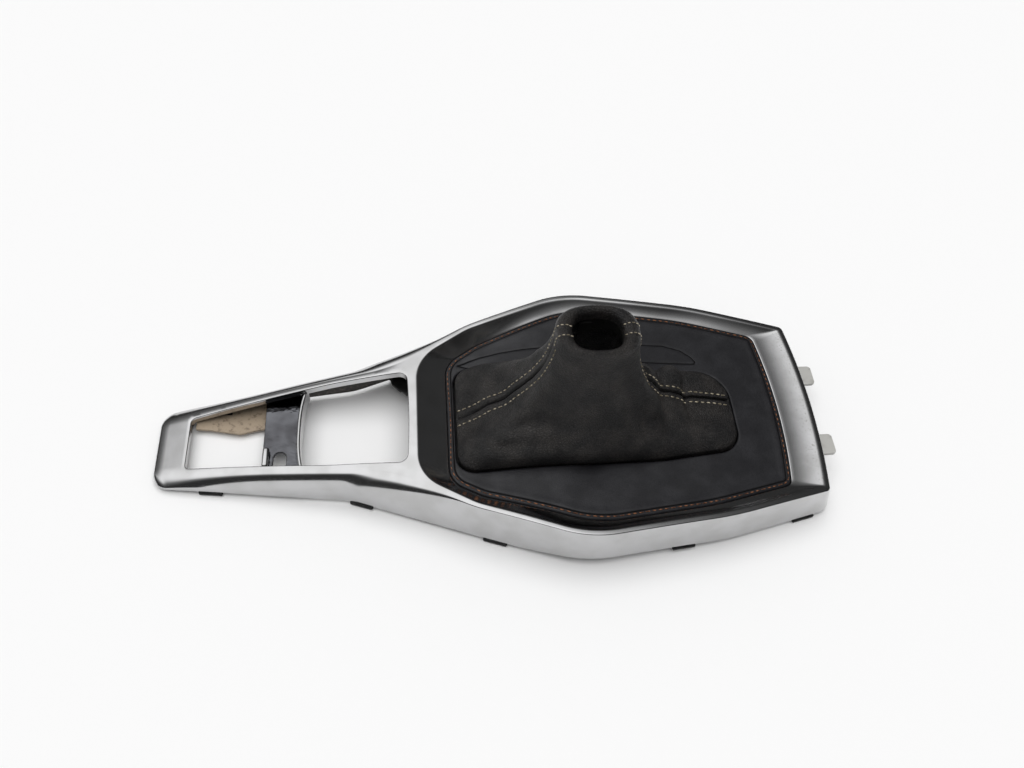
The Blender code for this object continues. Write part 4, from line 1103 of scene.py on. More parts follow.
    def ridge(self, level: float) -> bpy.types.Object:
        """Upright wall at the wide window's left edge, bowed to meet the neck's sides."""
        right = self.bridge[1]
        reach = self.half_at(self.form.fold(), right) - 1.2 * MM
        top = float(self.form.crown(np.array(right))) - 2.2 * MM
        half = 1.2 * MM
        rows = []
        for y in np.linspace(-reach, reach, 61):
            x = LEFT_X + right + 3.5 * MM * abs(y / reach) ** 2.6
            section = [(x + half * math.cos(a), y, top - 0.8 * MM + 0.8 * MM * math.sin(a))
                       for a in np.linspace(math.pi, 0, 9)]
            section += [(x + half, y, level - self.bridge_thick), (x - half, y, level - self.bridge_thick)]
            rows.append(np.array(section))
        bm = bmesh.new()
        verts = skin(bm, rows)
        bm.faces.new(verts[0])
        bm.faces.new(verts[-1][::-1])
        bmesh.ops.recalc_face_normals(bm, faces=bm.faces)
        return make_object("ridge", bm, Finish.CHROME)

    def tongue_parts(self) -> list[bpy.types.Object]:
        """Locating tongues on the wide end, each with its rib."""
        start = self.form.length - 4 * MM
        tip = self.form.length + 10.5 * MM
        half = 8.0 * MM
        radius = 2.8 * MM
        parts = []
        for side in (-1, 1):
            centre = side * self.tongue_y
            edge = [(start, centre - half)]
            for middle, first in ((centre - half + radius, -90), (centre + half - radius, 0)):
                for step in range(9):
                    angle = math.radians(first + 90 * step / 8)
                    edge.append((tip - radius + radius * math.cos(angle), middle + radius * math.sin(angle)))
            edge.append((start, centre + half))
            tongue = slab("tongue", np.array(edge), None,
                          lambda points: np.full(len(points), self.tongue_height), 2.6 * MM)
            parts.append(paint(bevel(tongue, 0.5 * MM, 3), 5))
            low = self.tongue_height - 2.6 * MM
            rib = box_object("tongue_rib", (start, centre - 1 * MM, low - 4 * MM),
                             (start + 9 * MM, centre + 1 * MM, low + 0.5 * MM))
            parts.append(paint(bevel(rib, 0.3 * MM), 5))
        return parts

    def tab_parts(self) -> list[bpy.types.Object]:
        """Tabs that the clips grip, and the bosses of the carrier's screws."""
        bm = bmesh.new()
        outer = 2.3 * MM
        inner = outer + 2.2 * MM
        root = self.wall / 2
        section = ((root, 6.5 * MM), (inner, 6.5 * MM), (inner, -1.5 * MM), (inner - 0.5 * MM, -2 * MM),
                   (outer + 0.5 * MM, -2 * MM), (outer, -1.5 * MM), (outer, 0.6 * MM), (root, 0.6 * MM))
        foot = self.form.foot()
        for stations, side in ((self.near_tabs, -1), (self.far_tabs, 1)):
            for station in stations:
                step = 4 * MM
                before = self.half_at(foot, station - step)
                after = self.half_at(foot, station + step)
                heights = self.form.rim(np.array((station - step, station, station + step)))
                inwards = Vector((after - before, -side * 2 * step, 0.0)).normalized()
                along = Vector((2 * step, side * (after - before), heights[2] - heights[0])).normalized()
                origin = Vector((LEFT_X + station, side * self.half_at(foot, station), heights[1]))
                rows = [np.array([origin + along * end + inwards * d + Vector((0, 0, h)) for d, h in section])
                        for end in (-7 * MM, 7 * MM)]
                verts = skin(bm, rows)
                bm.faces.new(verts[0])
                bm.faces.new(verts[1][::-1])
        upper, lower = self.form.dish()
        rear = lower.corners[-1][0] + lower.bulge + 7.2 * MM
        side = side_at(lower.half(4), 0.3320) + 3.6 * MM
        saddle = (upper.left + lower.left) / 2
        bosses = ((saddle, 0.0260, 0.5), (0.3320, side, 3.6 / 7.8), (rear, 0.0300, 7.2 / 20.5))
        for station, y, share in bosses:
            floor = float(self.form.floor(np.array(station)))
            crown = float(self.form.crown(np.array(station)))
            high = floor + (crown - floor) * share - self.wall * 1.15
            slope = 3.6 * MM
            low = max(float(self.form.floor(np.array(station + s))) for s in (-slope, slope)) - self.dish_flange
            for sign in (-1, 1):
                made = bmesh.ops.create_cone(bm, cap_ends=True, segments=32, radius1=3.6 * MM, radius2=3.6 * MM,
                                             depth=high - low)
                bmesh.ops.translate(bm, vec=(LEFT_X + station, y * sign, (low + high) / 2), verts=made["verts"])
        bmesh.ops.recalc_face_normals(bm, faces=bm.faces)
        return [paint(make_object("bezel_posts", bm), 4)]


def slab(name: str, edge: np.ndarray, hole: np.ndarray | None, height: object, thick: float,
         grid: float = 3 * MM) -> bpy.types.Object:
    """Closed slab over an outline, with a hole where it has one.

    Args:
        name: Name of the object.
        edge: Outline in stations and half widths.
        hole: Outline of a through hole.
        height: Function that gives the top's height at each point.
        thick: Thickness of the slab.
        grid: Spacing of points inside the outline.

    Returns:
        The slab.
    """
    rings = [edge] if hole is None else [edge, hole]
    xs, ys = np.meshgrid(np.arange(edge[:, 0].min(), edge[:, 0].max(), grid),
                         np.arange(edge[:, 1].min(), edge[:, 1].max(), grid))
    spots = np.column_stack((xs.ravel(), ys.ravel()))
    keep = inside(spots, edge)
    for ring in rings:
        keep &= distance_to(spots, ring) > grid * 0.4
    if hole is not None:
        keep &= ~inside(spots, hole)
    points = np.vstack(rings + [spots[keep]])
    edges = []
    start = 0
    for ring in rings:
        edges += [(start + i, start + (i + 1) % len(ring)) for i in range(len(ring))]
        start += len(ring)
    result = delaunay_2d_cdt([Vector(p) for p in points], edges, [], 1, 1e-9)
    tops = place(points, height(points))
    bm = bmesh.new()
    high = [bm.verts.new(p) for p in tops]
    low = [bm.verts.new(p - np.array((0, 0, thick))) for p in tops]
    for face in result[2]:
        ids = [result[3][i][0] for i in face]
        if hole is not None and inside(points[ids].mean(0)[None], hole)[0]:
            continue
        bm.faces.new([high[i] for i in ids])
        bm.faces.new([low[i] for i in reversed(ids)])
    for a, b in edges:
        bm.faces.new((high[a], high[b], low[b], low[a]))
    bmesh.ops.recalc_face_normals(bm, faces=bm.faces)
    return make_object(name, bm, Finish.CHROME)


def box_object(name: str, low: tuple[float, float, float],
               high: tuple[float, float, float]) -> bpy.types.Object:
    """Box between two corners, given as station, half width and height.

    Args:
        name: Name of the object.
        low: Lowest corner.
        high: Highest corner.

    Returns:
        The box.
    """
    bm = bmesh.new()
    bmesh.ops.create_cube(bm, size=1.0)
    centre = (Vector(low) + Vector(high)) / 2 + Vector((LEFT_X, 0, 0))
    size = Vector(high) - Vector(low)
    for vert in bm.verts:
        vert.co = Vector((vert.co.x * size.x, vert.co.y * size.y, vert.co.z * size.z)) + centre
    return make_object(name, bm, Finish.CHROME)


def bevel(obj: bpy.types.Object, width: float, segments: int = 2) -> bpy.types.Object:
    """Round an object's sharp edges.

    Args:
        obj: Object to round.
        width: Width of the rounding.
        segments: Steps across it.

    Returns:
        The same object, rounded.
    """
    mod = obj.modifiers.new("Round", "BEVEL")
    mod.width = width
    mod.segments = segments
    mod.limit_method = "ANGLE"
    mod.angle_limit = math.radians(40)
    apply_modifiers(obj)
    return obj


def paint(obj: bpy.types.Object, index: int) -> bpy.types.Object:
    """Give all faces of an object a slot of the piece that it will join."""
    obj.data.materials.clear()
    for polygon in obj.data.polygons:
        polygon.material_index = index
    return obj


def join_into(target: bpy.types.Object, parts: list[bpy.types.Object]) -> None:
    """Add the meshes of parts to a target's mesh and remove the parts."""
    bm = bmesh.new()
    bm.from_mesh(target.data)
    for part in parts:
        bm.from_mesh(part.data)
        bpy.data.objects.remove(part)
    bm.to_mesh(target.data)
    bm.free()


# Stitches


@dataclass(frozen=True)
class StitchRow:
    """Row of stitches along a path on the leather, laid by geometry nodes."""

    pitch: float = 4.3 * MM
    length: float = 3.3 * MM
    width: float = 0.75 * MM
    thread: Finish = Finish.PANEL_THREAD

    def tree(self) -> tuple[bpy.types.NodeTree, dict[str, str]]:
        """Node tree that lays one stitch at every pitch of a path.

        Returns:
            The tree, and the identifier of each input by its name.
        """
        tree = bpy.data.node_groups.new("lay_stitches", "GeometryNodeTree")
        tree.interface.new_socket("Geometry", in_out="INPUT", socket_type="NodeSocketGeometry")
        names = {}
        for name in ("Pitch", "Length", "Width"):
            socket = tree.interface.new_socket(name, in_out="INPUT", socket_type="NodeSocketFloat")
            names[name] = socket.identifier
        tree.interface.new_socket("Geometry", in_out="OUTPUT", socket_type="NodeSocketGeometry")
        start = add_node(tree, "NodeGroupInput")
        up = add_node(tree, "GeometryNodeInputNamedAttribute", {"data_type": "FLOAT_VECTOR"}, {"Name": "up"})
        path = add_node(tree, "GeometryNodeMeshToCurve", None, {"Mesh": start.outputs["Geometry"]})
        spaced = add_node(tree, "GeometryNodeResampleCurve", {"mode": "LENGTH"},
                          {"Curve": path.outputs["Curve"], "Length": start.outputs["Pitch"]})
        ball = add_node(tree, "GeometryNodeMeshUVSphere", None, {"Segments": 8, "Rings": 6, "Radius": 0.5})
        tangent = add_node(tree, "GeometryNodeInputTangent")
        aim = add_node(tree, "FunctionNodeAlignEulerToVector", {"axis": "X"}, {"Vector": tangent.outputs[0]})
        turn = add_node(tree, "FunctionNodeAlignEulerToVector", {"axis": "Z", "pivot_axis": "X"},
                        {"Rotation": aim.outputs[0], "Vector": up.outputs["Attribute"]})
        size = add_node(tree, "ShaderNodeCombineXYZ", None, {
            "X": start.outputs["Length"], "Y": start.outputs["Width"], "Z": start.outputs["Width"]})
        laid = add_node(tree, "GeometryNodeInstanceOnPoints", None, {
            "Points": spaced.outputs["Curve"], "Instance": ball.outputs["Mesh"],
            "Rotation": turn.outputs[0], "Scale": size.outputs[0]})
        real = add_node(tree, "GeometryNodeRealizeInstances", None, {"Geometry": laid.outputs[0]})
        soft = add_node(tree, "GeometryNodeSetShadeSmooth", None, {"Geometry": real.outputs[0]})
        dressed = add_node(tree, "GeometryNodeSetMaterial", None, {
            "Geometry": soft.outputs[0], "Material": bpy.data.materials[self.thread.value]})
        add_node(tree, "NodeGroupOutput", None, {"Geometry": dressed.outputs[0]})
        return tree, names

    def lay(self, name: str, paths: list[tuple[np.ndarray, np.ndarray]]) -> bpy.types.Object:
        """Lay stitches along paths.

        Args:
            name: Name of the finished piece.
            paths: Points and upward directions of each path.

        Returns:
            The stitches as one plain mesh.
        """
        points = np.vstack([p for p, _ in paths])
        ups = np.vstack([u for _, u in paths])
        edges = []
        start = 0
        for path, _ in paths:
            edges += [(start + i, start + i + 1) for i in range(len(path) - 1)]
            start += len(path)
        mesh = bpy.data.meshes.new(name)
        mesh.from_pydata(points.tolist(), edges, [])
        attribute = mesh.attributes.new("up", "FLOAT_VECTOR", "POINT")
        attribute.data.foreach_set("vector", ups.astype(np.float32).ravel())
        obj = bpy.data.objects.new(name, mesh)
        bpy.context.scene.collection.objects.link(obj)
        tree, names = self.tree()
        mod = obj.modifiers.new("Stitches", "NODES")
        mod.node_group = tree
        mod[names["Pitch"]] = self.pitch
        mod[names["Length"]] = self.length
        mod[names["Width"]] = self.width
        apply_modifiers(obj)
        return obj


# Leather panel


@dataclass
class LeatherPanel:
    """Leather cover of the panel: stitched along its border, with a pressed outline round the gaiter."""

    form: Form
    gap: float = 0.0004
    thick: float = 0.0013
    turn: float = 0.0034
    roll: float = 0.0014
    seam_inset: float = 0.0021
    groove_inset: float = 0.0034
    groove_width: float = 0.0008
    rows_across: int = 34
    outline: tuple[tuple[float, float], ...] = (
        (0.2120, 0.0450), (0.2161, 0.0459), (0.2212, 0.0480), (0.2284, 0.0500), (0.2428, 0.0521), (0.2573, 0.0529),
        (0.2750, 0.0533), (0.3100, 0.0539), (0.3451, 0.0539), (0.3610, 0.0530), (0.3732, 0.0487), (0.3800, 0.0430),
        (0.3828, 0.0385), (0.3818, 0.0366), (0.3658, 0.0372), (0.3438, 0.0383), (0.3000, 0.0330), (0.2400, 0.0330))

    def strip(self, distance: float) -> np.ndarray:
        """Ring at a distance from the border, capped at the middle of the leather."""
        edge = self.form.panel(self.gap)
        hole = self.form.hole(0.0)
        gap = hole - edge
        length = np.hypot(gap[:, 0], gap[:, 1])
        share = np.minimum(distance / length, 0.5)
        return edge + gap * share[:, None]

    def level(self, loop: np.ndarray, drop: float = 0.0) -> np.ndarray:
        """Ring on the leather's face, lowered by a drop."""
        return place(loop, self.form.leather(loop[:, 0]) - drop)

    def rows(self) -> Rows:
        """Rows from the turned-down edge round the hole over the face to the outer edge and back below."""
        form = self.form
        hole = form.hole(0.0)
        edge = form.panel(self.gap)
        inner = form.hole(self.roll)
        outer = form.panel(self.gap + self.roll)
        rows = [self.level(hole, self.turn)]
        rows += blend_rows(rows[0], self.level(hole, self.roll), 2)
        rows += bend(rows[-1], self.level(hole), self.level(inner), 4)
        near = self.strip(6.0 * MM)
        steps = self.rows_across
        rows += [self.level(inner + (near - inner) * step / steps) for step in range(1, steps)]
        rows += [self.level(near + (outer - near) * step / 14) for step in range(0, 14)]
        rows.append(self.level(outer))
        rows += bend(rows[-1], self.level(edge), self.level(edge, self.roll), 4)
        rows += blend_rows(rows[-1], self.level(edge, self.turn), 2)
        under = form.panel(self.gap + self.thick)
        beneath = form.hole(self.thick)
        rows.append(self.level(under, self.turn))
        rows.append(self.level(under, self.thick))
        rows.append(self.level(beneath, self.thick))
        rows.append(self.level(beneath, self.turn))
        return rows

    def build(self) -> list[bpy.types.Object]:
        """Build the leather and its border stitches, and dress them.

        Returns:
            The leather and the stitches.
        """
        bm = bmesh.new()
        skin(bm, self.rows(), closed=True)
        bmesh.ops.recalc_face_normals(bm, faces=bm.faces)
        obj = make_object("panel_leather_dressed", bm, Finish.PANEL_HIDE)
        points = read_points(obj)
        flat = points[:, :2] - np.array((LEFT_X, 0))
        face = points[:, 2] > self.form.leather(flat[:, 0]) - 0.2 * MM
        border = distance_to(flat, self.form.panel(self.gap))
        mark = distance_to(flat, np.array(self.outline))
        pressed = np.exp(-(mark / (self.groove_width * 0.8)) ** 2)
        sewn = np.exp(-((border - self.groove_inset) / self.groove_width) ** 2)
        dent = np.exp(-((border - self.seam_inset) / (0.9 * MM)) ** 2)
        crown = 0.35 * MM * np.exp(-((border - 5 * MM) / (3 * MM)) ** 2)
        soft = np.array([noise.noise(Vector(p) * 45) for p in points]) * 0.25 * MM
        lift = crown + soft * ease(border / (8 * MM)) - 0.35 * MM * sewn - 0.4 * MM * pressed - 0.2 * MM * dent
        points[:, 2] += np.where(face, lift, 0.0)
        obj.data.vertices.foreach_set("co", points.ravel())
        # Painted shade: groove, mark and border darken the leather's colour along the seam dent, the sewn groove
        # and the pressed outline
        write_attribute(obj, "groove", dent * 0.35 * face)
        sign = np.where(inside(flat, np.array(self.outline)), 1.0, -1.0)
        write_attribute(obj, "mark", np.where(face, sign * mark / MM, 9.0))
        write_attribute(obj, "border", np.where(face, (border - self.groove_inset) / MM, 9.0))
        smooth(obj, 60)
        path = self.strip(self.seam_inset)
        path = np.vstack((path, path[:1]))
        seam = self.level(path) + np.array((0, 0, 0.12 * MM))
        row = StitchRow(thread=Finish.PANEL_THREAD)
        stitches = row.lay("panel_stitches", [(seam, np.tile((0.0, 0.0, 1.0), (len(seam), 1)))])
        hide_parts("panel_leather")
        for piece in (obj, stitches):
            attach(piece, BODY)
        return [obj, stitches]


# Gaiter


@dataclass
class Gaiter:
    """Leather gaiter: sewn down the left and the right, full at its sides and rolled in at the collar."""

    form: Form
    thick: float = 0.0016
    inset: float = 0.0012
    fineness: int = 5
    steps: int = 62
    roll: float = 0.0045
    turn: float = 0.0090
    station: float = 0.2972
    top: float = 0.1250
    half_length: float = 0.0265
    half_width: float = 0.0208
    opening_length: float = 0.0158
    opening_width: float = 0.0148
    foot_drop: float = 0.0077
    left_seams: tuple[float, float] = (0.0050, -0.0070)
    right_seams: tuple[float, float] = (0.0080, 0.0000)

    def base(self) -> np.ndarray:
        """Loop of the gaiter's foot."""
        form = Form(fineness=self.fineness)
        return form.hole(-self.inset)

    def oval(self, loop: np.ndarray, length: float, width: float) -> np.ndarray:
        """Rounded oval at the collar, matched point by point to a loop."""
        angle = np.arctan2(loop[:, 1], loop[:, 0] - self.station)
        c = np.cos(angle)
        s = np.sin(angle)
        power = 2 / 2.6
        return np.column_stack((self.station + np.sign(c) * np.abs(c) ** power * length,
                                np.sign(s) * np.abs(s) ** power * width))

    def side(self, low: np.ndarray, high: np.ndarray, share: float) -> np.ndarray:
        """Ring of the gaiter's side between the panel and the collar.

        Args:
            low: Ring at the panel.
            high: Ring under the collar's roll.
            share: Share of the way up.

        Returns:
            The ring.
        """
        out = low[:, :2] - np.array((LEFT_X + self.station, 0.0))
        angle = np.arctan2(out[:, 1], out[:, 0])
        forward = np.maximum(np.cos(angle), 0) ** 1.5
        back = np.maximum(-np.cos(angle), 0) ** 1.5
        sides = 1 - forward - back
        reach = 0.55 * forward + 0.30 * back - 0.20 * sides
        rise = 0.14 * forward + 0.16 * back + 0.30 * sides
        fall = 0.95 * forward + 0.60 * back + 0.45 * sides
        lean = -0.10 * forward - 0.02 * back - 0.12 * sides
        u = 1 - share
        across = reach * 3 * u * u * share + (1 + lean) * 3 * u * share**2 + share**3
        up = rise * 3 * u * u * share + (1 - fall) * 3 * u * share**2 + share**3
        return np.column_stack((low[:, 0] + (high[:, 0] - low[:, 0]) * across,
                                low[:, 1] + (high[:, 1] - low[:, 1]) * across,
                                low[:, 2] + (high[:, 2] - low[:, 2]) * up))

    def grid(self) -> np.ndarray:
        """Points of the gaiter's face, row by row from the panel to the turned-in top."""
        base = self.base()
        leather = self.form.leather(base[:, 0])
        low = place(base, leather + 1.0 * MM)
        high = place(self.oval(base, self.half_length, self.half_width),
                     np.full(len(base), self.top - self.roll))
        rows = [place(base, leather - self.foot_drop), place(base, leather - 2 * MM)]
        rows += [self.side(low, high, step / self.steps) for step in range(self.steps + 1)]
        for step in range(1, 10):
            part = math.pi * step / 9
            inwards = (1 - math.cos(part)) / 2
            length = self.half_length + (self.opening_length - self.half_length) * inwards
            width = self.half_width + (self.opening_width - self.half_width) * inwards
            height = self.top - self.roll + self.roll * math.sin(part)
            rows.append(place(self.oval(base, length, width), np.full(len(base), height)))
        rows.append(place(self.oval(base, self.opening_length, self.opening_width),
                          np.full(len(base), self.top - self.turn)))
        return np.array(rows)

    def normals(self, grid: np.ndarray) -> np.ndarray:
        """Outward directions of the grid's points."""
        around = np.roll(grid, -1, 1) - np.roll(grid, 1, 1)
        up = np.gradient(grid, axis=0)
        normal = np.cross(around, up)
        normal /= np.linalg.norm(normal, axis=2, keepdims=True) + 1e-12
        middle = len(grid) // 2
        outward = grid[middle] - np.array((LEFT_X + self.station, 0, 0))
        if (normal[middle, :, :2] * outward[:, :2]).sum() < 0:
            normal = -normal
        return normal

    def folds(self, grid: np.ndarray) -> tuple[np.ndarray, np.ndarray]:
        """Height of the folds and lumps over the smooth shape, and the strength of the seam grooves.

        Args:
            grid: Points of the smooth gaiter.

        Returns:
            Height along the outward direction, and the grooves' strength from 0 to 1.
        """
        station = grid[..., 0] - LEFT_X
        y = grid[..., 1]
        z = grid[..., 2]
        angle = np.arctan2(y, station - self.station)
        count = grid.shape[0]
        share = np.clip((np.arange(count) - 2) / self.steps, 0, 1)[:, None]
        hang = np.sin(math.pi * share) ** 0.8 * (share < 1)
        left = ease((self.station - 0.020 - station) / 0.020)
        right = ease((station - self.station - 0.024) / 0.012)
        near = ease((-y - 0.012) / 0.014)
        far = ease((y - 0.012) / 0.014)
        height = np.zeros_like(station)
        # Full belly on the near side, with two slack folds that run down from the collar
        height += near * 3.2 * MM * bump_at(share, 0.16, 0.17)
        height -= near * 1.9 * MM * bump_at(share, 0.46, 0.10) * (0.6 + 0.4 * np.cos(angle * 3 + 0.4))
        height += near * 1.2 * MM * np.sin(angle * 7 + share * 5) * hang * 0.7
        height += (far * 1.6 * MM * bump_at(share, 0.2, 0.2)
                   + far * 0.9 * MM * np.sin(angle * 6 + share * 4) * hang)
        # Puffed shelf towards the wide end: two lumps, a valley between them and an upright fold
        height += right * 4.4 * MM * bump_at(station, 0.3400, 0.008) * bump_at(y, 0.020, 0.014) * (z < 0.062)
        height += right * 4.0 * MM * bump_at(station, 0.3600, 0.007) * bump_at(y, 0.020, 0.016) * (z < 0.062)
        height -= right * 2.6 * MM * bump_at(station, 0.3500, 0.0035) * bump_at(y, 0.016, 0.020)
        height -= right * 3.0 * MM * bump_at(station, 0.3680, 0.0022) * bump_at(y, 0.006, 0.018)
        height += right * 4.2 * MM * bump_at(station, 0.3390, 0.006) * bump_at(y, -0.014, 0.010)
        height += right * 3.0 * MM * bump_at(station, 0.3580, 0.006) * bump_at(y, -0.014, 0.010)
        height -= right * 1.8 * MM * bump_at(station, 0.3495, 0.003) * bump_at(y, -0.014, 0.012)
        # Slack over the left slope: shallow cross folds
        height += left * 1.0 * MM * np.sin(share * 26 + y * 60) * hang * bump_at(share, 0.35, 0.22)
        seam = np.zeros_like(station)
        for side, pair in ((left, self.left_seams), (right, self.right_seams)):
            middle = (pair[0] + pair[1]) / 2
            half = abs(pair[0] - pair[1]) / 2
            body = side * (share > 0.005) * (share < 1)
            height += 0.7 * MM * body * np.exp(-((y - middle) / (half * 1.25)) ** 4)
            joint = body * np.exp(-((y - middle) / (1.0 * MM)) ** 2)
            height -= 1.5 * MM * joint
            for line in pair:
                height -= 0.35 * MM * body * np.exp(-((y - line) / (1.1 * MM)) ** 2)
            seam = np.maximum(seam, joint)
        return height * (share > 0) * np.minimum(1, (1 - share) * 12), seam

    def creases(self, grid: np.ndarray) -> np.ndarray:
        """Soft noise of the handled hide, larger low down than at the collar."""
        flat = grid.reshape(-1, 3)
        values = np.array([noise.noise(Vector(p) * 38) + 0.5 * noise.noise(Vector(p) * 95) for p in flat])
        count = grid.shape[0]
        share = np.clip((np.arange(count) - 2) / self.steps, 0, 1)[:, None]
        return values.reshape(grid.shape[:2]) * 1.9 * MM * np.sin(math.pi * share) ** 0.7 * (1 - 0.5 * share)

    def seam_path(self, grid: np.ndarray, normal: np.ndarray, line: float, right: bool,
                  first: int, last: int) -> tuple[np.ndarray, np.ndarray]:
        """Path of a stitch row that keeps one Y, on the left or right of the collar.

        Args:
            grid: Points of the finished face.
            normal: Outward directions.
            line: Y of the row.
            right: Whether it runs on the wide end's side.
            first: First grid row.
            last: Last grid row.

        Returns:
            Points and upward directions.
        """
        points = []
        ups = []
        for row, ups_row in zip(grid[first:last], normal[first:last]):
            side = (row[:, 0] - LEFT_X > self.station) == right
            nxt = np.roll(row, -1, 0)
            crosses = ((row[:, 1] > line) != (nxt[:, 1] > line)) & side
            if not crosses.any():
                continue
            i = int(np.argmax(crosses))
            t = (line - row[i, 1]) / (nxt[i, 1] - row[i, 1])
            points.append(row[i] + (nxt[i] - row[i]) * t + ups_row[i] * 0.15 * MM)
            ups.append(ups_row[i])
        return np.array(points), np.array(ups)

    def tacks(self, grid: np.ndarray, normal: np.ndarray) -> list[tuple[np.ndarray, np.ndarray]]:
        """Short stitch rows over the rolled top, two on each end of the collar."""
        first = self.steps
        return [self.seam_path(grid, normal, line, right, first, first + 10)
                for line in (-4 * MM, 4 * MM) for right in (False, True)]

    def build(self) -> list[bpy.types.Object]:
        """Build the gaiter and its seams, and dress them.

        Returns:
            The gaiter and its stitches.
        """
        grid = self.grid()
        normal = self.normals(grid)
        height, seam = self.folds(grid)
        height = height + self.creases(grid)
        grid = grid + normal * height[..., None]
        normal = self.normals(grid)
        bm = bmesh.new()
        skin(bm, list(grid))
        bmesh.ops.recalc_face_normals(bm, faces=bm.faces)
        tall = max((f for f in bm.faces if abs(f.normal.z) < 0.5), key=lambda f: f.calc_center_median().y)
        if tall.normal.y < 0:
            bmesh.ops.reverse_faces(bm, faces=bm.faces)
        obj = make_object("gaiter_dressed", bm, Finish.GAITER_HIDE)
        # Painted shade: the seam joint's mask also darkens the hide's colour along its groove
        write_attribute(obj, "groove", seam.ravel())
        wall = obj.modifiers.new("Wall", "SOLIDIFY")
        wall.thickness = self.thick
        wall.offset = -1.0
        apply_modifiers(obj)
        smooth(obj, 70)
        last = 2 + self.steps - 2
        lines = [(line, False) for line in self.left_seams] + [(line, True) for line in self.right_seams]
        paths = [self.seam_path(grid, normal, line, right, 4, last) for line, right in lines]
        seam_row = StitchRow(thread=Finish.GAITER_THREAD, pitch=4.2 * MM, length=3.1 * MM, width=0.9 * MM)
        seams = seam_row.lay("gaiter_stitches", paths)
        tack_row = StitchRow(thread=Finish.GAITER_THREAD, pitch=2.6 * MM, length=2.3 * MM, width=0.7 * MM)
        tacks = tack_row.lay("gaiter_tacks", self.tacks(grid, normal))
        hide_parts("gaiter")
        for piece in (obj, seams, tacks):
            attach(piece, BODY)
        return [obj, seams, tacks]


# Clips


@dataclass
class SpringClips:
    """Spring clips on the bezel's tabs, folded from strip with an outward catch."""

    form: Form
    stations: dict[str, tuple[float, ...]]
    width: float = 0.0172
    sheet: float = 0.0009
    taper: float = 0.86
    profile: tuple[tuple[float, float], ...] = (
        (5.4, 3.4), (5.1, 2.4), (5.1, -2.0), (4.7, -3.0), (3.9, -3.05), (1.0, -3.05), (-0.1, -2.9),
        (-0.6, -2.2), (-0.4, -1.2), (0.6, -0.6))

    def strip(self, bm: bmesh.types.BMesh, station: float, side: int) -> None:
        """Fold one clip's strip.

        Args:
            bm: Mesh that gets the strip.
            station: Station of the clip.
            side: 1 on the far side, -1 on the near side.
        """
        step = 4 * MM
        foot = self.form.foot().half(2)
        before = side_at(foot, station - step)
        after = side_at(foot, station + step)
        heights = self.form.rim(np.array((station - step, station, station + step)))
        inwards = Vector((after - before, -side * 2 * step, 0.0)).normalized()
        along = Vector((2 * step, side * (after - before), heights[2] - heights[0])).normalized()
        origin = Vector((LEFT_X + station, side * side_at(foot, station), heights[1]))
        rows = []
        for d, h in self.profile:
            narrow = self.taper + (1 - self.taper) * min(max((h + 3.0) / 3.0, 0.0), 1.0)
            ends = [origin + along * self.width / 2 * narrow * end + (inwards * d + Vector((0, 0, h))) * MM
                    for end in np.linspace(-1, 1, 13)]
            rows.append([bm.verts.new(p) for p in ends])
        for low, high in zip(rows, rows[1:]):
            for a, b, c, d in zip(low, low[1:], high[1:], high):
                bm.faces.new((a, b, c, d))

    def build(self) -> list[bpy.types.Object]:
        """Build every clip and dress it.

        Returns:
            The clips.
        """
        made = []
        for name, stations in self.stations.items():
            side = 1 if name == "far" else -1
            for index, station in enumerate(stations, 1):
                bm = bmesh.new()
                self.strip(bm, station, side)
                obj = make_object(f"{name}_clip_{index}_dressed", bm, Finish.SPRING)
                wall = obj.modifiers.new("Wall", "SOLIDIFY")
                wall.thickness = self.sheet
                wall.offset = 0.0
                edge = obj.modifiers.new("Edge", "BEVEL")
                edge.width = 0.15 * MM
                edge.segments = 1
                apply_modifiers(obj)
                fix = bmesh.new()
                fix.from_mesh(obj.data)
                bmesh.ops.recalc_face_normals(fix, faces=fix.faces)
                fix.to_mesh(obj.data)
                fix.free()
                smooth(obj, 50)
                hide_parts(f"{name}_clip_{index}")
                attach(obj, BODY)
                made.append(obj)
        return made


# Solid pieces that keep their mesh


def dress_solids(nodes: dict) -> None:
    """Give the moulded, sprung and screwed pieces their finishes.

    Args:
        nodes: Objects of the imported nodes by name.
    """
    for name, obj in nodes.items():
        finish = None
        if "clip" in name:
            finish = Finish.SPRING
        elif "screw" in name:
            finish = Finish.ZINC
        elif name in ("panel_carrier", "gaiter_collar", "gaiter_frame"):
            finish = Finish.MOULDING
        if finish is None:
            continue
        for slot in obj.material_slots:
            slot.material = bpy.data.materials[finish.value]
        LOG.info("%s: dressed as %s", name, finish.value)


# Studio


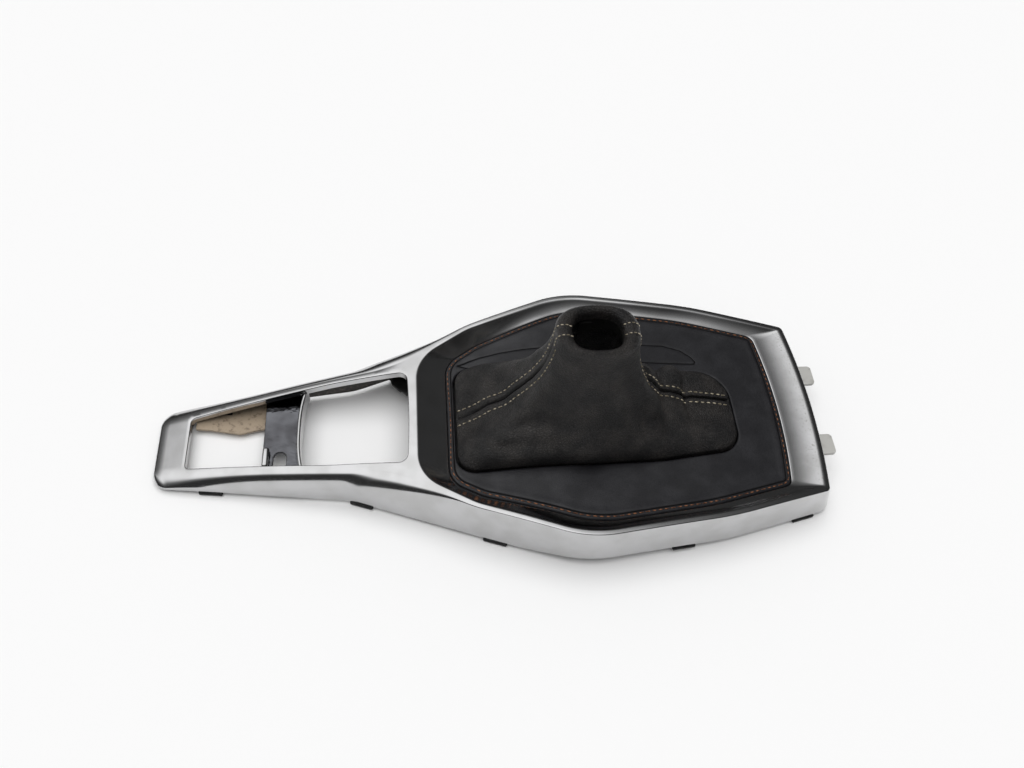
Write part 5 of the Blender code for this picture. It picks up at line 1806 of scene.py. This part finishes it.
@dataclass(frozen=True)
class Studio:
    """Pale floor, soft overhead light and the camera at the photograph's angle."""

    floor_half: float = 6.0
    lens: float = 33.398
    sensor: float = 36.0
    place: tuple[float, float, float] = (-0.0383612, -0.3584427, 0.5764559)
    right: tuple[float, float, float] = (0.996382, -0.073503, 0.042671)
    up: tuple[float, float, float] = (0.035269, 0.814373, 0.57927)
    forward: tuple[float, float, float] = (0.077329, 0.575669, -0.814018)
    lamp_angle: float = 65.0
    lamp_back: float = 0.15
    lamp_height: float = 1.1
    lamp_power: float = 2.1
    room_level: float = 0.34
    card_reach: float = 4.0
    card_foot: float = -0.4
    card_lean: tuple[float, float, float] = (-0.35, 0.18, 1.0)

    def floor(self) -> None:
        """Lay the floor that the object stands on."""
        bm = bmesh.new()
        size = self.floor_half
        corners = ((-size, -size, 0), (size, -size, 0), (size, size, 0), (-size, size, 0))
        bm.faces.new([bm.verts.new(p) for p in corners])
        floor = make_object("studio_floor", bm, Finish.PAPER)

    def lights(self) -> None:
        """Hang the soft lamp and make the room's own pale light."""
        data = bpy.data.lights.new("overhead_lamp", "SUN")
        data.angle = math.radians(self.lamp_angle)
        data.energy = self.lamp_power
        lamp = bpy.data.objects.new("overhead_lamp", data)
        lamp.location = (0.0, self.lamp_back, self.lamp_height)
        lamp.visible_glossy = False
        bpy.context.scene.collection.objects.link(lamp)
        world = bpy.data.worlds.new("studio_room")
        world.use_nodes = True
        bpy.context.scene.world = world
        tree = world.node_tree
        rays = add_node(tree, "ShaderNodeLightPath")
        seen = add_node(tree, "ShaderNodeMath", {"operation": "MAXIMUM"},
                        {0: rays.outputs["Is Camera Ray"], 1: rays.outputs["Is Glossy Ray"]})
        seen = add_node(tree, "ShaderNodeMath", {"operation": "MAXIMUM"},
                        {0: seen.outputs[0], 1: rays.outputs["Is Transmission Ray"]})
        level = Surface.ramp(tree, seen.outputs[0], 0.0, 1.0, self.room_level, 1.0)
        tree.links.new(level, tree.nodes["Background"].inputs["Strength"])
        tree.nodes["Background"].inputs["Color"].default_value = (1.0, 1.0, 1.0, 1.0)

    def cards(self) -> None:
        """Dome of cards that gloss reflects in place of the white room: bright overhead, dim lower down."""
        bm = bmesh.new()
        bmesh.ops.create_uvsphere(bm, u_segments=48, v_segments=32, radius=self.card_reach)
        below = [v for v in bm.verts if v.co.z < self.card_foot]
        bmesh.ops.delete(bm, geom=below, context="VERTS")
        mat = bpy.data.materials.new("studio_cards")
        mat.use_nodes = True
        tree = mat.node_tree
        tree.nodes.remove(tree.nodes["Principled BSDF"])
        place_node = add_node(tree, "ShaderNodeTexCoord").outputs["Object"]
        way = add_node(tree, "ShaderNodeVectorMath", {"operation": "NORMALIZE"}, {0: place_node}).outputs[0]
        lean = add_node(tree, "ShaderNodeVectorMath", {"operation": "DOT_PRODUCT"},
                        {0: way, 1: self.card_lean})
        value = lean.outputs["Value"]
        high = Surface.ramp(tree, value, 0.80, 1.0, 0.0, 1.05)
        wide = Surface.ramp(tree, value, 0.60, 1.0, 0.045, 0.36)
        total = add_node(tree, "ShaderNodeMath", {"operation": "ADD"}, {0: high, 1: wide}).outputs[0]
        glow = add_node(tree, "ShaderNodeEmission", None, {"Strength": total})
        tree.links.new(glow.outputs[0], tree.nodes["Material Output"].inputs["Surface"])
        dome = make_object("studio_cards", bm)
        dome.data.materials.append(mat)
        dome.visible_camera = False
        dome.visible_diffuse = False
        dome.visible_shadow = False

    def camera(self) -> None:
        """Set the camera where the photograph was taken from."""
        data = bpy.data.cameras.new("photo_camera")
        data.lens = self.lens
        data.sensor_width = self.sensor
        data.clip_start = 0.01
        camera = bpy.data.objects.new("photo_camera", data)
        back = Vector(self.forward) * -1
        turn = Matrix((self.right, self.up, back)).transposed().to_4x4()
        camera.matrix_world = Matrix.Translation(self.place) @ turn
        bpy.context.scene.collection.objects.link(camera)
        bpy.context.scene.camera = camera

    def build(self) -> None:
        """Set up the floor, the light and the camera."""
        self.floor()
        self.lights()
        self.cards()
        self.camera()
        bpy.context.scene.view_settings.view_transform = "Standard"


def main() -> None:
    """Dress the frame and set up the studio."""
    logging.basicConfig(level=logging.INFO, format="%(name)s: %(message)s")
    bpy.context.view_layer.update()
    make_finishes()
    form = Form()
    dress_solids(frame["nodes"])
    bezel = Bezel(form)
    clips = SpringClips(form, {"near": bezel.near_tabs, "far": bezel.far_tabs})
    for builder in (bezel, LeatherPanel(form), Gaiter(form), clips):
        pieces = builder.build()
        for piece in pieces if isinstance(pieces, list) else [pieces]:
            LOG.info("%s: %d faces", piece.name, len(piece.data.polygons))
    Studio().build()


if __name__ == "__main__":
    main()
